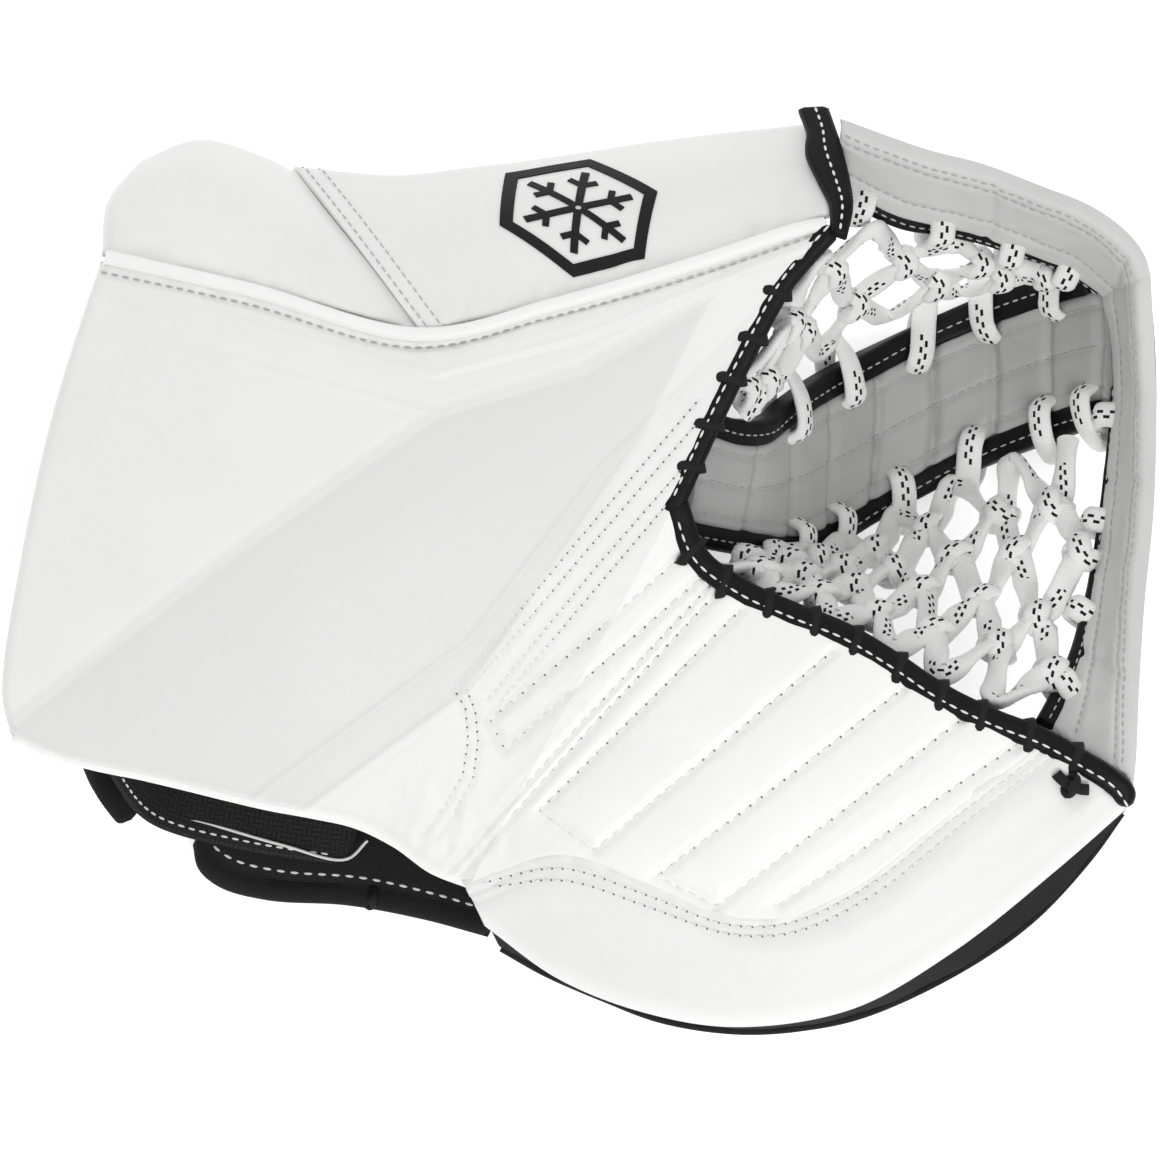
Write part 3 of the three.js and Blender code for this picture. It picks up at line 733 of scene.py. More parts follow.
def stitch_recipe():
    """Grains laid along the path at a pitch: the visible lengths of a row of stitches."""
    tree, given, end = recipe("stitches", pitch="Float", long="Float", thick="Float", paint="Material")
    path = tree.node("GeometryNodeMeshToCurve", {}, {"Mesh": given["path"]})["Curve"]
    one_each = {"Curve": path, "Length": given["pitch"]}
    spaced = tree.node("GeometryNodeCurveToPoints", {"mode": "LENGTH"}, one_each)
    grain = tree.node("GeometryNodeMeshUVSphere", {}, {"Segments": 8, "Rings": 5, "Radius": 0.5})["Mesh"]
    stitch_sides = {0: given["thick"], 1: given["thick"], 2: given["long"]}
    size = tree.node("ShaderNodeCombineXYZ", {}, stitch_sides)["Vector"]
    grain = tree.node("GeometryNodeTransform", {}, {"Geometry": grain, "Scale": size})["Geometry"]
    laid = {"Points": spaced["Points"], "Instance": grain, "Rotation": spaced["Rotation"]}
    return end(tree.node("GeometryNodeInstanceOnPoints", {}, laid)["Instances"])


SWEEP, STITCHES = sweep_recipe(), stitch_recipe()


def thread(name, tone):
    made, tree, link = material(name, 0.7)
    place = tree.node("ShaderNodeTexCoord")["Object"]
    twist = tree.node("ShaderNodeTexNoise", {}, {"Vector": place, "Scale": 2200, "Detail": 2})["Fac"]
    normal = tree.node("ShaderNodeBump", {}, {"Strength": 0.6, "Distance": 0.0001, "Height": twist})["Normal"]
    link(base_color=mixed(tree, twist, grey(tone * 0.8), grey(tone)), normal=normal)
    return made


WHITE_THREAD = thread("white_thread", 0.88)
GREY_THREAD = thread("grey_thread", 0.5)
# Dark grains that stand for needle holes: painted shade, because a hole shows only as shade.
NEEDLE_HOLE_SHADE = thread("needle_hole", 0.16)


def skin_of(piece):
    mesh = piece.data
    return BVHTree.FromPolygons([v.co for v in mesh.vertices], [list(p.vertices) for p in mesh.polygons])


REACH = 14  # how far over a piece's face a row of stitches is dropped from
ROW_HEIGHT = 118.0  # about the height of the boards' faces


def dropped(points, ways, skins, lift=0.0):
    """The points moved against their ways on to the skins, and lifted. A point that misses is left out."""
    ways = np.broadcast_to(ways, np.shape(points))
    kept = []
    for point, way in zip(metres(np.asarray(points) + ways * REACH), ways):
        hits = [skin.ray_cast(Vector(point), Vector(-way), 2.5 * REACH * MM) for skin in skins]
        hits = [hit for hit in hits if hit[0] is not None]
        if hits:
            place = np.array(min(hits, key=lambda hit: hit[3])[0]) + way * lift * MM
            kept.append((place - np.array(close["pos_m"])) / MM + BREAK_HEEL)
    return np.array(kept)


def dense(row, spacing=1.5):
    """A row's points at a close spacing, with straight runs between them."""
    row = np.array(row, float)
    length = np.concatenate([[0], np.cumsum(np.linalg.norm(np.diff(row, axis=0), axis=1))])
    s = np.linspace(0, length[-1], max(2, round(length[-1] / spacing)))
    return np.stack([np.interp(s, length, row[:, k]) for k in range(row.shape[1])], -1)


def from_above(row, skins, lift):
    row = dense(np.array(row, float)[:, :2])
    return dropped(np.column_stack([row, np.full(len(row), ROW_HEIGHT)]), UP, skins, lift)


def over_surface(place, shares_row, skins, lift, spacing=1.5):
    """A row given by its u and v on a surface, on the skins in front of it."""
    steps = np.array(shares_row, float)
    far = np.linalg.norm(np.diff(place(steps[:, 0], steps[:, 1]), axis=0), axis=1)
    s = np.concatenate([[0], np.cumsum(far)])
    at = np.linspace(0, s[-1], max(2, round(s[-1] / spacing)))
    u, v = np.interp(at, s, steps[:, 0]), np.interp(at, s, steps[:, 1])
    return dropped(place(u, v), facing(place, u, v), skins, lift)


def sew(name, rows, body, pitch, long, thick, paint, slot):
    rows = [row for row in rows if len(row) > 1]
    piece = along(name, rows, STITCHES, pitch=pitch * MM, long=long * MM, thick=thick * MM, paint=paint)
    return finish(piece, body, None, slot)


def sew_white(name, rows, body, pitch):
    """A row of white stitches, with a dark grain between each two: the needle hole's painted shade."""
    sew(name, rows, body, pitch, pitch * 0.68, 0.8, WHITE_THREAD, "white_leather")
    shifted = [row[max(1, round(pitch / 3)):] for row in rows]
    sew(f"{name}_holes", shifted, body, pitch, 0.9, 0.75, NEEDLE_HOLE_SHADE, "white_leather")


piping_path = line(
    (-170, 112, 115), (-118, 100, 119), (-57, 84, 121), (-8, 95, 122), (43, 110, 123), (76, 121, 122.5),
    (87, 123.5, 121),
)
piping = along("side_wall_piping_cord", [piping_path(np.linspace(0, 1, 120)) - (0, 0.9, 2)], SWEEP,
               wide=5.2 * MM, thick=4.4 * MM, sides=12, paint=WHITE_LEATHER)
finish(piping, "cuff_thumb", None, "white_leather", "side_wall_piping")
cuff_skins, finger_skins = [skin_of(cuff_board)], [skin_of(palm), skin_of(rim_pad)]
thumb_wall_skins = [skin_of(thumb_side)]
under_piping = board(np.linspace(0.01, 0.985, 150), 0.977)
under_row = dropped(under_piping, UP, cuff_skins, 0.1)
sew("piping_stitches", [under_row], "cuff_thumb", 4.0, 2.7, 0.8, GREY_THREAD, "white_leather")
laps = [over_surface(thumb_wall, [(u, 0.03), (u, 0.97)], thumb_wall_skins, 0.1) for u in (0.018, 0.05)]
sew("wall_lap_stitches", laps, "cuff_thumb", 4.2, 3.2, 0.6, GREY_THREAD, "white_leather")


def parted(rows, side, spacing=1.5):
    """The stretches of rows that lie on one side of the break, with a stitch's room at it."""
    kept = []
    for row in rows:
        points = dense(row, spacing)
        here = side * across_break(np.column_stack([points, np.full(len(points), 105.0)])) > 1.2
        for stretch in np.split(np.arange(len(points)), np.flatnonzero(np.diff(here.astype(int))) + 1):
            if here[stretch[0]] and len(stretch) > 2:
                kept.append(points[stretch])
    return kept


for body, side, skins in (("cuff_thumb", -1, cuff_skins), ("fingers", 1, finger_skins)):
    fine = [from_above(row, skins, 0.05) for row in parted(FINE_ROWS, side)]
    wide = [from_above(row, skins, 0.05) for row in parted(CHANNEL_ROWS, side)]
    if fine:
        sew_white(f"{body}_fine_stitches", fine, body, 3.2)
    sew_white(f"{body}_channel_stitches", wide, body, 5.0)
rim_rows = [from_above(rim(np.linspace(0.03, 0.99, 60), v), finger_skins, 0.05) for v in (0.87, 0.79)]
sew_white("rim_stitches", rim_rows, "fingers", 4.0)

# ---- the black bound edges along the pocket ----
# Black leather folded over the boards' edges on the pocket's side, sewn with one white row. A black lace
# whips round it every few stitches and ties the nets to the glove. It ends in a knot at the fingertip.
WRAP_PITCH = 17.5


def edge_ways(points):
    """The way out from an edge, seen from above, to the right of its course."""
    tangent = unit(np.gradient(points, axis=0) * (1, 1, 0))
    return np.cross(tangent, UP)


def bound_edge(name, body, edge, outward, inner, outer, depth, nodes, lift=1.5, tip=0.5):
    """Folded leather along an edge, from inner to outer across it, with its stitches and its lace."""
    count = max(8, round(edge.length / 2))
    at = np.linspace(0, 1, count)
    points = edge(at)
    ways = outward * edge_ways(points)
    middle, half = (inner + outer) / 2, (outer - inner) / 2
    full = np.sqrt(1 - np.clip(1 - (1 - at[:, None]) * edge.length / tip, 0, 0.97) ** 2)
    kept = [*range(0, count - 4, 4), *range(count - 4, count)]
    palm_side = line(*(points + ways * (middle - half * full))[kept])
    pocket_side = line(*(points + ways * (middle + half * full))[kept])
    if outward > 0:
        palm_side, pocket_side = pocket_side, palm_side
    strip = between(palm_side, pocket_side)
    piece = pad(name, strip, depth, uneven(0.35, 6, 31), roll=(1.5, 1.5, 2.6, 2.6), spacing=1.2, raised=lift)
    finish(piece, body, BLACK_LEATHER, "black_leather", *nodes, fill=1.0)
    sewn = (points + ways * (middle - 1.3) + UP * 3)[4:-1]
    row = dropped(sewn, UP, [skin_of(piece)], 0.15)
    sew(f"{name}_stitches", [row], body, 4.4, 3.2, 0.85, WHITE_THREAD, "white_leather")
    whip_lace(f"{name}_lace", body, edge, points, ways, inner, outer, depth, lift)


def whip_lace(name, body, edge, points, ways, inner, outer, depth, lift):
    """Turns of round lace about a bound edge, leaning along it."""
    turns = []
    angles = np.linspace(0, 2 * np.pi, 25)
    middle, half = (inner + outer) / 2 - 0.8, (outer - inner) / 2 + 1.9
    for k in range(1, int(edge.length / WRAP_PITCH)):
        here = min(len(points) - 1, round(k * WRAP_PITCH / edge.length * (len(points) - 1)))
        tangent = np.cross(UP, ways[here])
        a, b = np.cos(angles)[:, None], np.sin(angles)[:, None]
        flat = np.sign(a) * np.abs(a) ** 0.6 * half
        rise = np.sign(b) * np.abs(b) ** 0.6 * (depth / 2 - 0.9)
        turn = points[here] + ways[here] * (middle + flat) + UP * (lift - depth / 2 + rise)
        turns.append(turn + tangent * (2.4 * a))
    piece = along(name, turns, SWEEP, wide=4.2 * MM, thick=3.4 * MM, sides=10, paint=BLACK_LACE)
    finish(piece, body, None, "black_lace")


def lace_braid(name, base, tracer, rough):
    """A flat waxed lace: a fine braid, with short tracer dashes in bundles along it."""
    made, tree, link = material(name, rough, specular_ior_level=0.2)
    run = tree.node("ShaderNodeAttribute", {"attribute_name": "run"})["Fac"]
    side = tree.node("ShaderNodeAttribute", {"attribute_name": "side"})["Fac"]
    rib = math.pi / 0.0011
    braid = abs((run * rib + side * 9).sin()) * abs((run * rib - side * 9).sin())
    step = run * (1 / 0.0036)
    row = (side * 5 + 10).fraction() - 0.5
    odd = ((side * 5 + 10) * 0.5).fraction() > 0.5
    dash = ((step + odd * 0.5).fraction() < 0.5) * (abs(row) < 0.3) * (abs(side) < 0.2)
    bundle = (run * (1 / 0.031)).fraction() < 0.46
    color = mixed(tree, dash * bundle, grey(base), grey(tracer))
    normal = tree.node("ShaderNodeBump", {}, {"Strength": 0.6, "Distance": 0.0002, "Height": braid})["Normal"]
    link(base_color=color, normal=normal)
    return made


BLACK_LACE = lace_braid("black_lace", 0.012, 0.012, 0.6)
WHITE_LACE = lace_braid("white_lace", 0.86, 0.008, 0.72)

fingers_edge = line(
    *[tuple(field_edge(s)) for s in np.linspace(0, 1, 9)],
    (178, -70, 132.5), (189, -77, 133), (194.5, -84.5, 130),
)
bound_edge("finger_edge_fold", "fingers", fingers_edge, -1, -3.9, 5.0, 17,
           ("finger_edge_binding", "finger_tip_binding", "finger_edge_lace"), tip=6)
thumb_edge = line(
    at_break(0.56), at_break(0.7, -2.6), at_break(0.8, -3.4), at_break(0.9, -3.2), (89.5, 121.5, 120.5)
)
bound_edge("thumb_edge_fold", "cuff_thumb", thumb_edge, 1, -3.8, 4.0, 16,
           ("thumb_edge_binding", "thumb_edge_lace"))

tip_west = line(
    (78.5, 165.5, 92), (81, 157, 99), (80.5, 149, 105.5), (85, 138, 113), (88.5, 130, 118.5), (89, 119, 123)
)
tip_east = line((89.5, 166, 93), (94, 150, 105), (96.5, 137, 112.5), (97, 128, 118), (94.5, 117, 122))
tip_fold = between(tip_west, tip_east)


def to_palm(place, u, v):
    """The way that a surface faces, turned to the palm's side."""
    way = facing(place, u, v)
    return way * np.sign(way[..., 2:])


tip = pad("thumb_tip_fold", tip_fold, 4, roll=(1.5, 1.5, 2, 2), spacing=1.2, raised=2.4, stack=to_palm)
finish(tip, "cuff_thumb", BLACK_LEATHER, "black_leather", "thumb_tip_strap", fill=1.0)
tip_points = tip_fold(np.linspace(0.04, 0.96, 40), 0.5)
tip_row = dropped(tip_points, unit(np.array((0.1, 0.5, 0.85))), [skin_of(tip)], 0.15)
sew("thumb_tip_stitches", [tip_row], "cuff_thumb", 3.6, 2.4, 1.0, WHITE_THREAD, "white_leather")


def knotted(place, way):
    """The two runs of a small knot: its ends, and the turn about them."""
    across = np.cross(UP, way)
    reach = np.linspace(-1, 1, 20)[:, None]
    ends = place + way * 6.5 * reach + across * 1.6 * reach**2 - UP * 1.2 * reach**2
    angle = np.linspace(0, 2 * np.pi, 25)[:, None]
    turn = place + across * 2.9 * np.cos(angle) + UP * (2.2 * np.sin(angle)) + way * 0.9 * np.sin(angle)
    return [ends, turn]


knot_runs = knotted(np.array((173, -77, 135.5)), unit(np.array((0.9, -0.45, 0))))
knot = along("fingertip_knot", knot_runs, SWEEP, wide=4.2 * MM, thick=3 * MM, sides=10, paint=BLACK_LACE)
finish(knot, "fingers", None, "black_lace", "finger_lace_knot")

# ---- the emblem on the thumb's wall ----
# A plain hexagon ring round a six-armed snowflake, cut from black film and bonded to the wall.
EMBLEM_MIDDLE, EMBLEM_SIZE = (0.47, 0.47), 26.0
WALL_RUN, WALL_RISE = 170.0, 66.0


def film_bar(a, b, wide):
    """A bar of film from a to b on the wall, in millimetres from the emblem's middle."""
    s, t = np.meshgrid(np.linspace(0, 1, 17), np.linspace(-0.5, 0.5, 4), indexing="ij")
    a, b = np.array(a, float), np.array(b, float)
    across = np.array((a[1] - b[1], b[0] - a[0])) / np.linalg.norm(b - a)
    return film(a + s[..., None] * (b - a) + t[..., None] * wide * across)


def film_side(a, b, wide):
    """A side of the hexagon ring, mitred at its corners."""
    s, t = np.meshgrid(np.linspace(0, 1, 17), np.linspace(0.5, -0.5, 4), indexing="ij")
    grown = 1 + t[..., None] * wide / EMBLEM_SIZE
    return film(grown * ((1 - s[..., None]) * a + s[..., None] * b))


def film(flat):
    """Film on the wall, from a grid in millimetres from the emblem's middle."""
    u = EMBLEM_MIDDLE[0] + flat[..., 0] / WALL_RUN
    v = np.clip(EMBLEM_MIDDLE[1] + flat[..., 1] / WALL_RISE, 0, 1)
    p, way = thumb_wall(u, v), facing(thumb_wall, u, v)
    laid = dropped(p.reshape(-1, 3), way.reshape(-1, 3), thumb_wall_skins, 0.5).reshape(p.shape)
    return laid, laid - way * 0.9, flat


def emblem_bars():
    corner = [EMBLEM_SIZE * np.array((np.cos(k * np.pi / 3), np.sin(k * np.pi / 3))) for k in range(7)]
    bars = [film_side(a, b, 4.8) for a, b in zip(corner, corner[1:])]
    for end in corner[:6]:
        bars.append(film_bar(end * 0.04, end * 0.74, 2.6))
        for turn in (-1, 1):
            spin = np.array(((0.5, -0.866 * turn), (0.866 * turn, 0.5)))
            bars.append(film_bar(end * 0.44, end * 0.44 + spin @ end * 0.2, 2.2))
    return bars


emblem = closed_mesh("wall_emblem", *emblem_bars())
finish(emblem, "cuff_thumb", BLACK_LEATHER, "emblem", "emblem_patch")

# ---- the pocket's T ----
# A stem that sags from the crotch of the glove and two bars that carry the pocket's rim: white leather
# over foam, quilted across, with rows of grey stitches along it and black binding on the inner edges.
# It hangs on the break at one end and on the fingers at the other.
POCKET_WAY = unit((THUMB_TIP - BREAK_HEEL) * (1, 1, 0))
POCKET_TURN = [tuple(metres(BREAK_HEEL + POCKET_WAY * reach)) for reach in (470, 142)]
RIB_PITCH = 27.0


def hang(piece, paint, slot, *nodes, fill=None):
    """Finishes a piece of the pocket, and bakes its place into its mesh."""
    finish(piece, None, paint, slot, *nodes, fill=fill)
    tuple(POCKET_TURN[0])
    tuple(POCKET_TURN[1])
    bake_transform(piece)


stem_south = line(
    (36, 17, 82), (58, 13, 62), (76, 11, 38), (100, 21, 11), (125, 34, 3), (150, 46, 5), (170, 54, 13),
    (190, 61, 30), (200, 62, 43),
)
stem_north = line(
    (42, 50, 84), (60, 46, 66), (76, 56, 40), (92, 65.5, 20), (111, 74.5, 7), (130, 83, 3), (154, 92, 6),
    (177, 99, 20), (198, 104, 46),
)
stem = between(stem_south, stem_north)
BAR_MITRE = line((198, 104, 46), (203, 105, 66), (206, 106, 89))
upper_bar = surface(
    line(
        (95, 141, 87), (117, 131, 79), (132, 129, 73), (147, 126, 67), (166, 120, 59), (181, 115, 52),
        BAR_MITRE(0),
    ),
    line(
        (93, 161, 107), (124, 150, 106), (144, 145, 104), (166, 137, 101), (184, 130, 98), (197, 121, 95),
        (203.5, 113, 92), BAR_MITRE(1),
    ),
    line((95, 141, 87), (94.5, 152, 97), (93, 161, 107)),
    BAR_MITRE,
)
lower_bar = surface(
    line(
        BAR_MITRE(0), (202, 85, 44), (203, 64, 44), (199.5, 30, 49), (194, -2, 59), (188, -22, 71),
        (181, -40, 85),
        (175, -51, 94), (169, -61, 102),
    ),
    line(
        BAR_MITRE(1), (208.5, 60, 85), (207, 20, 89), (203, -12, 97), (199.5, -46, 110), (197.5, -68, 121),
        (196, -77, 126),
    ),
    BAR_MITRE,
    line((169, -61, 102), (184, -71, 115), (196, -77, 126)),
)
# The stem and bars are the same white leather as the boards. Their greys are painted shade: darkest on the
# stem, deep in the pocket, and lighter on the bars.
STEM_LEATHER_PAINTED_SHADE = leather("stem_leather", 0.36, 0.48, 0.5, crease=0.0004)
BAR_LEATHER_PAINTED_SHADE = leather("bar_leather", 0.56, 0.7, 0.5, crease=0.0004)
STEM_ROWS, BAR_ROWS = (0.14, 0.5, 0.86), (0.3, 0.84, 0.93)


def quilted(rows, pitch, depth):
    """Soft ribs across the piece, and a groove at each lengthwise row."""
    def relief(p, u, v, distances):
        wander = 2.5 * bumpy(p, 30, 41)
        phase = (distances[0] + wander) / pitch
        crossing = np.abs(phase - np.round(phase)) * pitch
        shaped = -depth * bell(crossing, 2.1) + 0.5 * bumpy(p, 9, 42) + 0.4 * bumpy(p, 26, 43)
        for row in rows:
            reach = np.abs(v - row) * (distances[2] + distances[3])
            shaped = shaped - 0.8 * bell(reach, 1.3)
        return shaped
    return relief


def t_piece(name, place, paint, rows, pitch, depth, edge_rows, roll):
    quilt = quilted(rows, pitch, depth)
    front = pad(name, place, 7.3, quilt, roll=roll, spacing=1.4, stack=facing, raised=7.0)
    hang(front, paint, "white_leather", f"{name}_pad", fill=0.8)
    tucked = lambda u, v: place(0.03 + 0.94 * u, 0.06 + 0.74 * v)
    back = pad(f"{name}_back", tucked, 1.6, uneven(0.3, 10, 44), roll=(0.6,) * 4, spacing=3, stack=facing,
               raised=-0.4)
    hang(back, BLACK_LEATHER, "black_leather", f"{name}_backing")
    skins = [skin_of(front)]
    sewn = [over_surface(place, [(0.03, row), (0.97, row)], skins, 0.1) for row in rows]
    piece = along(f"{name}_stitches", sewn, STITCHES, pitch=3.7 * MM, long=2.6 * MM, thick=0.85 * MM,
                  paint=GREY_THREAD)
    hang(piece, None, "white_leather")
    for edge_name, v, wide, level, span in edge_rows:
        flange(edge_name, place, v, wide, level, span)


def flange(name, place, v, wide, level, span):
    """The black binding along a long edge of a T piece, with its own row of stitches."""
    inward = 0.05 if v == 0 else -0.05
    s = np.linspace(*span, 14)
    edge = place(s, np.full(14, float(v)))
    out = unit((edge - place(s, np.full(14, v + inward))) * (1, 1, level))
    near, far = line(*(edge - out * 1.2)), line(*(edge + out * np.linspace(*wide, 14)[:, None]))
    if v == 0:
        near, far = far, near
    strip = between(near, far)
    piece = pad(name, strip, 7.6, uneven(0.3, 6, 45), roll=(1, 1, 2.2, 2.2), spacing=1.4,
                stack=facing, raised=6.9)
    hang(piece, BLACK_LEATHER, "black_leather", f"{name}ing", fill=1.0)
    row = over_surface(strip, [(0.02, 0.45), (0.98, 0.45)], [skin_of(piece)], 0.1)
    sewn = along(f"{name}_stitches", [row], STITCHES, pitch=3.9 * MM, long=2.6 * MM, thick=0.7 * MM,
                 paint=GREY_THREAD)
    hang(sewn, None, "black_leather")


STEM_EDGES = (
    ("t_stem_upper_bind", 1, (8, 12.5), 1, (0, 0.96)),
    ("t_stem_lower_bind", 0, (8, 9.5), 1, (0, 0.97)),
)
UPPER_EDGES = (("t_upper_bar_bind", 0, (7.5, 2.5), 0.5, (0.02, 0.96)),)
LOWER_EDGES = (("t_lower_bar_bind", 0, (4, 8), 0.2, (0.2, 1)),)
t_piece("t_stem", stem, STEM_LEATHER_PAINTED_SHADE, STEM_ROWS, RIB_PITCH, 2.3, STEM_EDGES, (0, 0, 3, 3))
t_piece("t_upper_bar", upper_bar, BAR_LEATHER_PAINTED_SHADE, BAR_ROWS, 60, 0.9, UPPER_EDGES, (2, 0, 3, 5))
t_piece("t_lower_bar", lower_bar, BAR_LEATHER_PAINTED_SHADE, BAR_ROWS, 75, 0.9, LOWER_EDGES, (0, 2, 3, 5))

# ---- the nets ----
# One long white skate lace, a flat braid with black tracers, zigzags between the T and the boards. Where
# two runs meet it hitches round itself in a fat turn, and it loops over the T's bound edges.
LACE_THICK, LOOP_WIDE, TABLE_ROOM = 4.6, 9.6, 3.6
HITCH_WIDE, HITCH_DEEP, HITCH_LEAN = 5.4, 4.2, 1.8
upper_net = surface(
    line(
        (60, 54, 78), (72, 66, 52), (88, 79, 30), (108, 90, 19), (128, 98, 18), (150, 105, 28),
        (168, 109, 40),
    ),
    line(
        (60, 70, 96), (76, 96, 102), (90, 121, 100), (110, 124, 84), (130, 122, 72), (152, 117, 60),
        (176, 109, 50),
    ),
    line((60, 54, 78), (58, 62, 88), (60, 70, 96)),
    line((168, 109, 40), (172, 109, 46), (176, 109, 50)),
)
lower_net = surface(
    line((50, 1, 98), (84, -14, 102), (108, -26, 106), (140, -43, 112), (160, -53, 114)),
    line((74, 5, 54), (96, 7, 30), (114, 15, 15), (138, 28, 10), (160, 39, 18), (183, 47, 36)),
    line((50, 1, 98), (60, 2, 80), (74, 5, 54)),
    line((160, -53, 114), (169, -40, 96), (179, -12, 72), (187, 20, 54), (183, 47, 36)),
)


def clear_of_table(runs):
    """Laces that lie on the table, rather than through it."""
    return [np.column_stack([run[:, :2], np.maximum(run[:, 2], TABLE_ROOM)]) for run in runs]


def smooth(points, spacing=1.6):
    path = line(*points, steps=10)
    return path(np.linspace(0, 1, max(4, round(path.length / spacing))))


def woven(name, place, columns, rows, seed, node, wide):
    """Zigzag runs on a surface. Each meets the next at alternate columns, in a fat hitch."""
    chance = np.random.default_rng(seed)
    drift = chance.uniform(-0.16, 0.16, (columns + 1, rows + 1, 2))
    drift[:, 0, 1] = drift[:, -1, 1] = 0

    def node_at(i, j, lift):
        u = np.clip((i + drift[i, j, 0]) / columns, 0, 1)
        v = np.clip((j + drift[i, j, 1]) / rows, 0, 1)
        return place(u, v) + facing(place, u, v) * lift

    runs, ways = [], []
    for j in range(rows):
        knots = [node_at(i, j + (i + j) % 2, 2.4 if (i + j) % 2 else -1.6) for i in range(columns + 1)]
        path = smooth(knots)
        runs.append(path)
        front = facing(place, 0.5, 0.5)
        sway = 0.9 * np.sin(np.linspace(0, 3.3 * columns, len(path)) + j)[:, None]
        ways.append(unit(front + sway * np.cross(front, unit(np.gradient(path, axis=0)))))
    for i in range(columns + 1):
        for j in range(1, rows):
            if (i + j) % 2 == 0:
                middle = node_at(i, j, 0.4)
                normal = facing(place, min(1, i / columns), j / rows)
                tilt = chance.uniform(-0.6, 0.6)
                level = unit(np.cross(UP + 0.01, normal))
                level = level * np.cos(tilt) + np.cross(normal, level) * np.sin(tilt)
                angle = np.linspace(0, 2 * np.pi, 21)[:, None]
                side = np.cross(normal, level)
                turn = middle + side * HITCH_WIDE * np.cos(angle) + normal * HITCH_DEEP * np.sin(angle)
                runs.append(turn + level * HITCH_LEAN * np.sin(2 * angle))
                ways.append(unit(side * np.cos(angle) + normal * np.sin(angle)))
    piece = along(name, clear_of_table(runs), SWEEP, ways, wide=wide * MM, thick=LACE_THICK * MM,
                  sides=14, paint=WHITE_LACE)
    hang(piece, None, "white_lace", node)


woven("upper_net", upper_net, 10, 3, 4, "upper_pocket_lace", 8.4)
woven("lower_net", lower_net, 11, 5, 7, "lower_pocket_lace", 9.4)


def edge_loops(name, place, v, shares_along, reach, inside, seed):
    """Loops of lace from a net, over the bound edge of a T piece, through a hole and back behind it."""
    chance = np.random.default_rng(seed)
    runs, ways = [], []
    inward = 0.05 if v == 0 else -0.05
    for share in shares_along:
        edge = place(share, float(v))
        out = unit(edge - place(share, v + inward))
        normal = facing(place, share, min(0.99, max(0.01, v)))
        tangent = np.cross(normal, out)
        lean = chance.uniform(-0.3, 0.3)
        spots = (
            (-inside, 5.5, 0), (-inside + 2.5, 10.2, 0.1), (0, 11.2, 0.3), (reach * 0.6, 8.5, 0.6),
            (reach, 2.5, 1),
            (reach * 0.7, -3.4, 0.7), (0, -4.0, 0.3), (-inside + 1, -3.5, 0.1), (-inside - 0.6, 0.5, 0),
            (-inside, 5.5, 0),
        )
        path = smooth([edge + out * a + normal * b + tangent * c * lean * reach for a, b, c in spots], 1.3)
        path[-1] = path[0]
        middle = path.mean(0)
        runs.append(path)
        ways.append(unit(path - middle - ((path - middle) @ tangent)[:, None] * tangent))
    piece = along(name, clear_of_table(runs), SWEEP, ways, wide=LOOP_WIDE * MM, thick=LACE_THICK * MM,
                  sides=14, paint=WHITE_LACE)
    hang(piece, None, "white_lace")


edge_loops("stem_upper_loops", stem, 1, (0.24, 0.42, 0.58, 0.73, 0.88), 19, 6, 1)
edge_loops("stem_lower_loops", stem, 0, (0.27, 0.39, 0.54, 0.7, 0.85, 0.95), 16, 6, 2)
edge_loops("upper_bar_loops", upper_bar, 0, (0.08, 0.34, 0.6, 0.82), 12, 4, 3)
edge_loops("lower_bar_loops", lower_bar, 0, (0.26, 0.48, 0.7, 0.9), 13, 4, 5)

# ---- the fingers' back, side and stalls ----
# Behind the fingers a moulded back in black nylon, sewn along its rim with white, with a quilted lining
# over thin foam. A nylon gusset closes the side. Five half sleeves of nylon hold the thumb and fingers.
BACK_TIP = (195, -88.5, 106)
BACK_OUTLINE = [
    (-30, -141, 56), (-14, -150, 56), (7, -159, 58), (30, -167, 64), (58, -170.5, 70), (82, -168.5, 76),
    (104, -163, 82), (138, -146, 91), (163, -128, 96), (183, -106, 101), BACK_TIP,
]
finger_back = surface(
    line(*BACK_OUTLINE), line((30, -36, 46), (66, -40, 54), (97, -50, 66), (133, -64, 80), (183, -84, 102)),
    line(BACK_OUTLINE[0], (2, -84, 40), (30, -36, 46)), line(BACK_TIP, (183, -84, 102)), crown=-4.4,
)


def shell_back(p, u, v, distances):
    ribs = np.abs(np.sin(np.pi * 4 * u)) ** 0.5
    return 1.6 * ribs * np.sin(np.pi * v) ** 0.6 - 1.5 * bell(distances[2] - 8, 1.4)


def quilt(pitch, depth, seed):
    def relief(p, u, v, distances):
        along_line, across_line = (np.abs(np.sin(np.pi * distances[k] / pitch)) for k in (0, 2))
        return depth * (np.sqrt(np.minimum(along_line, across_line)) - 1) + 0.4 * bumpy(p, 14, seed)
    return relief


NYLON_SHEEN = weave("moulded_nylon", 0.006, 0.03, 0.0016, 0.6, 0.0003)
shell = pad("finger_shell", finger_back, 3, roll=(1, 1, 1, 1), spacing=2, behind=shell_back)
finish(shell, "fingers", NYLON_SHEEN, "black_nylon", "finger_back_shell")
lining = pad("finger_back_quilt", finger_back, 6, quilt(18, 1.6, 51), roll=(2.5,) * 4, spacing=2, raised=6.3)
finish(lining, "fingers", BLACK_NYLON, "black_nylon", "finger_back_foam", fill=0.7)
below = np.linspace(0.02, 0.98, 140)
shell_row = dropped(finger_back(below, 0.06), -UP, [skin_of(shell)], 0.15)
sew("finger_shell_stitches", [shell_row], "fingers", 4.4, 2.9, 1.0, WHITE_THREAD, "black_nylon")


def lifted(points, by):
    return [tuple(np.array(p) + by) for p in points]


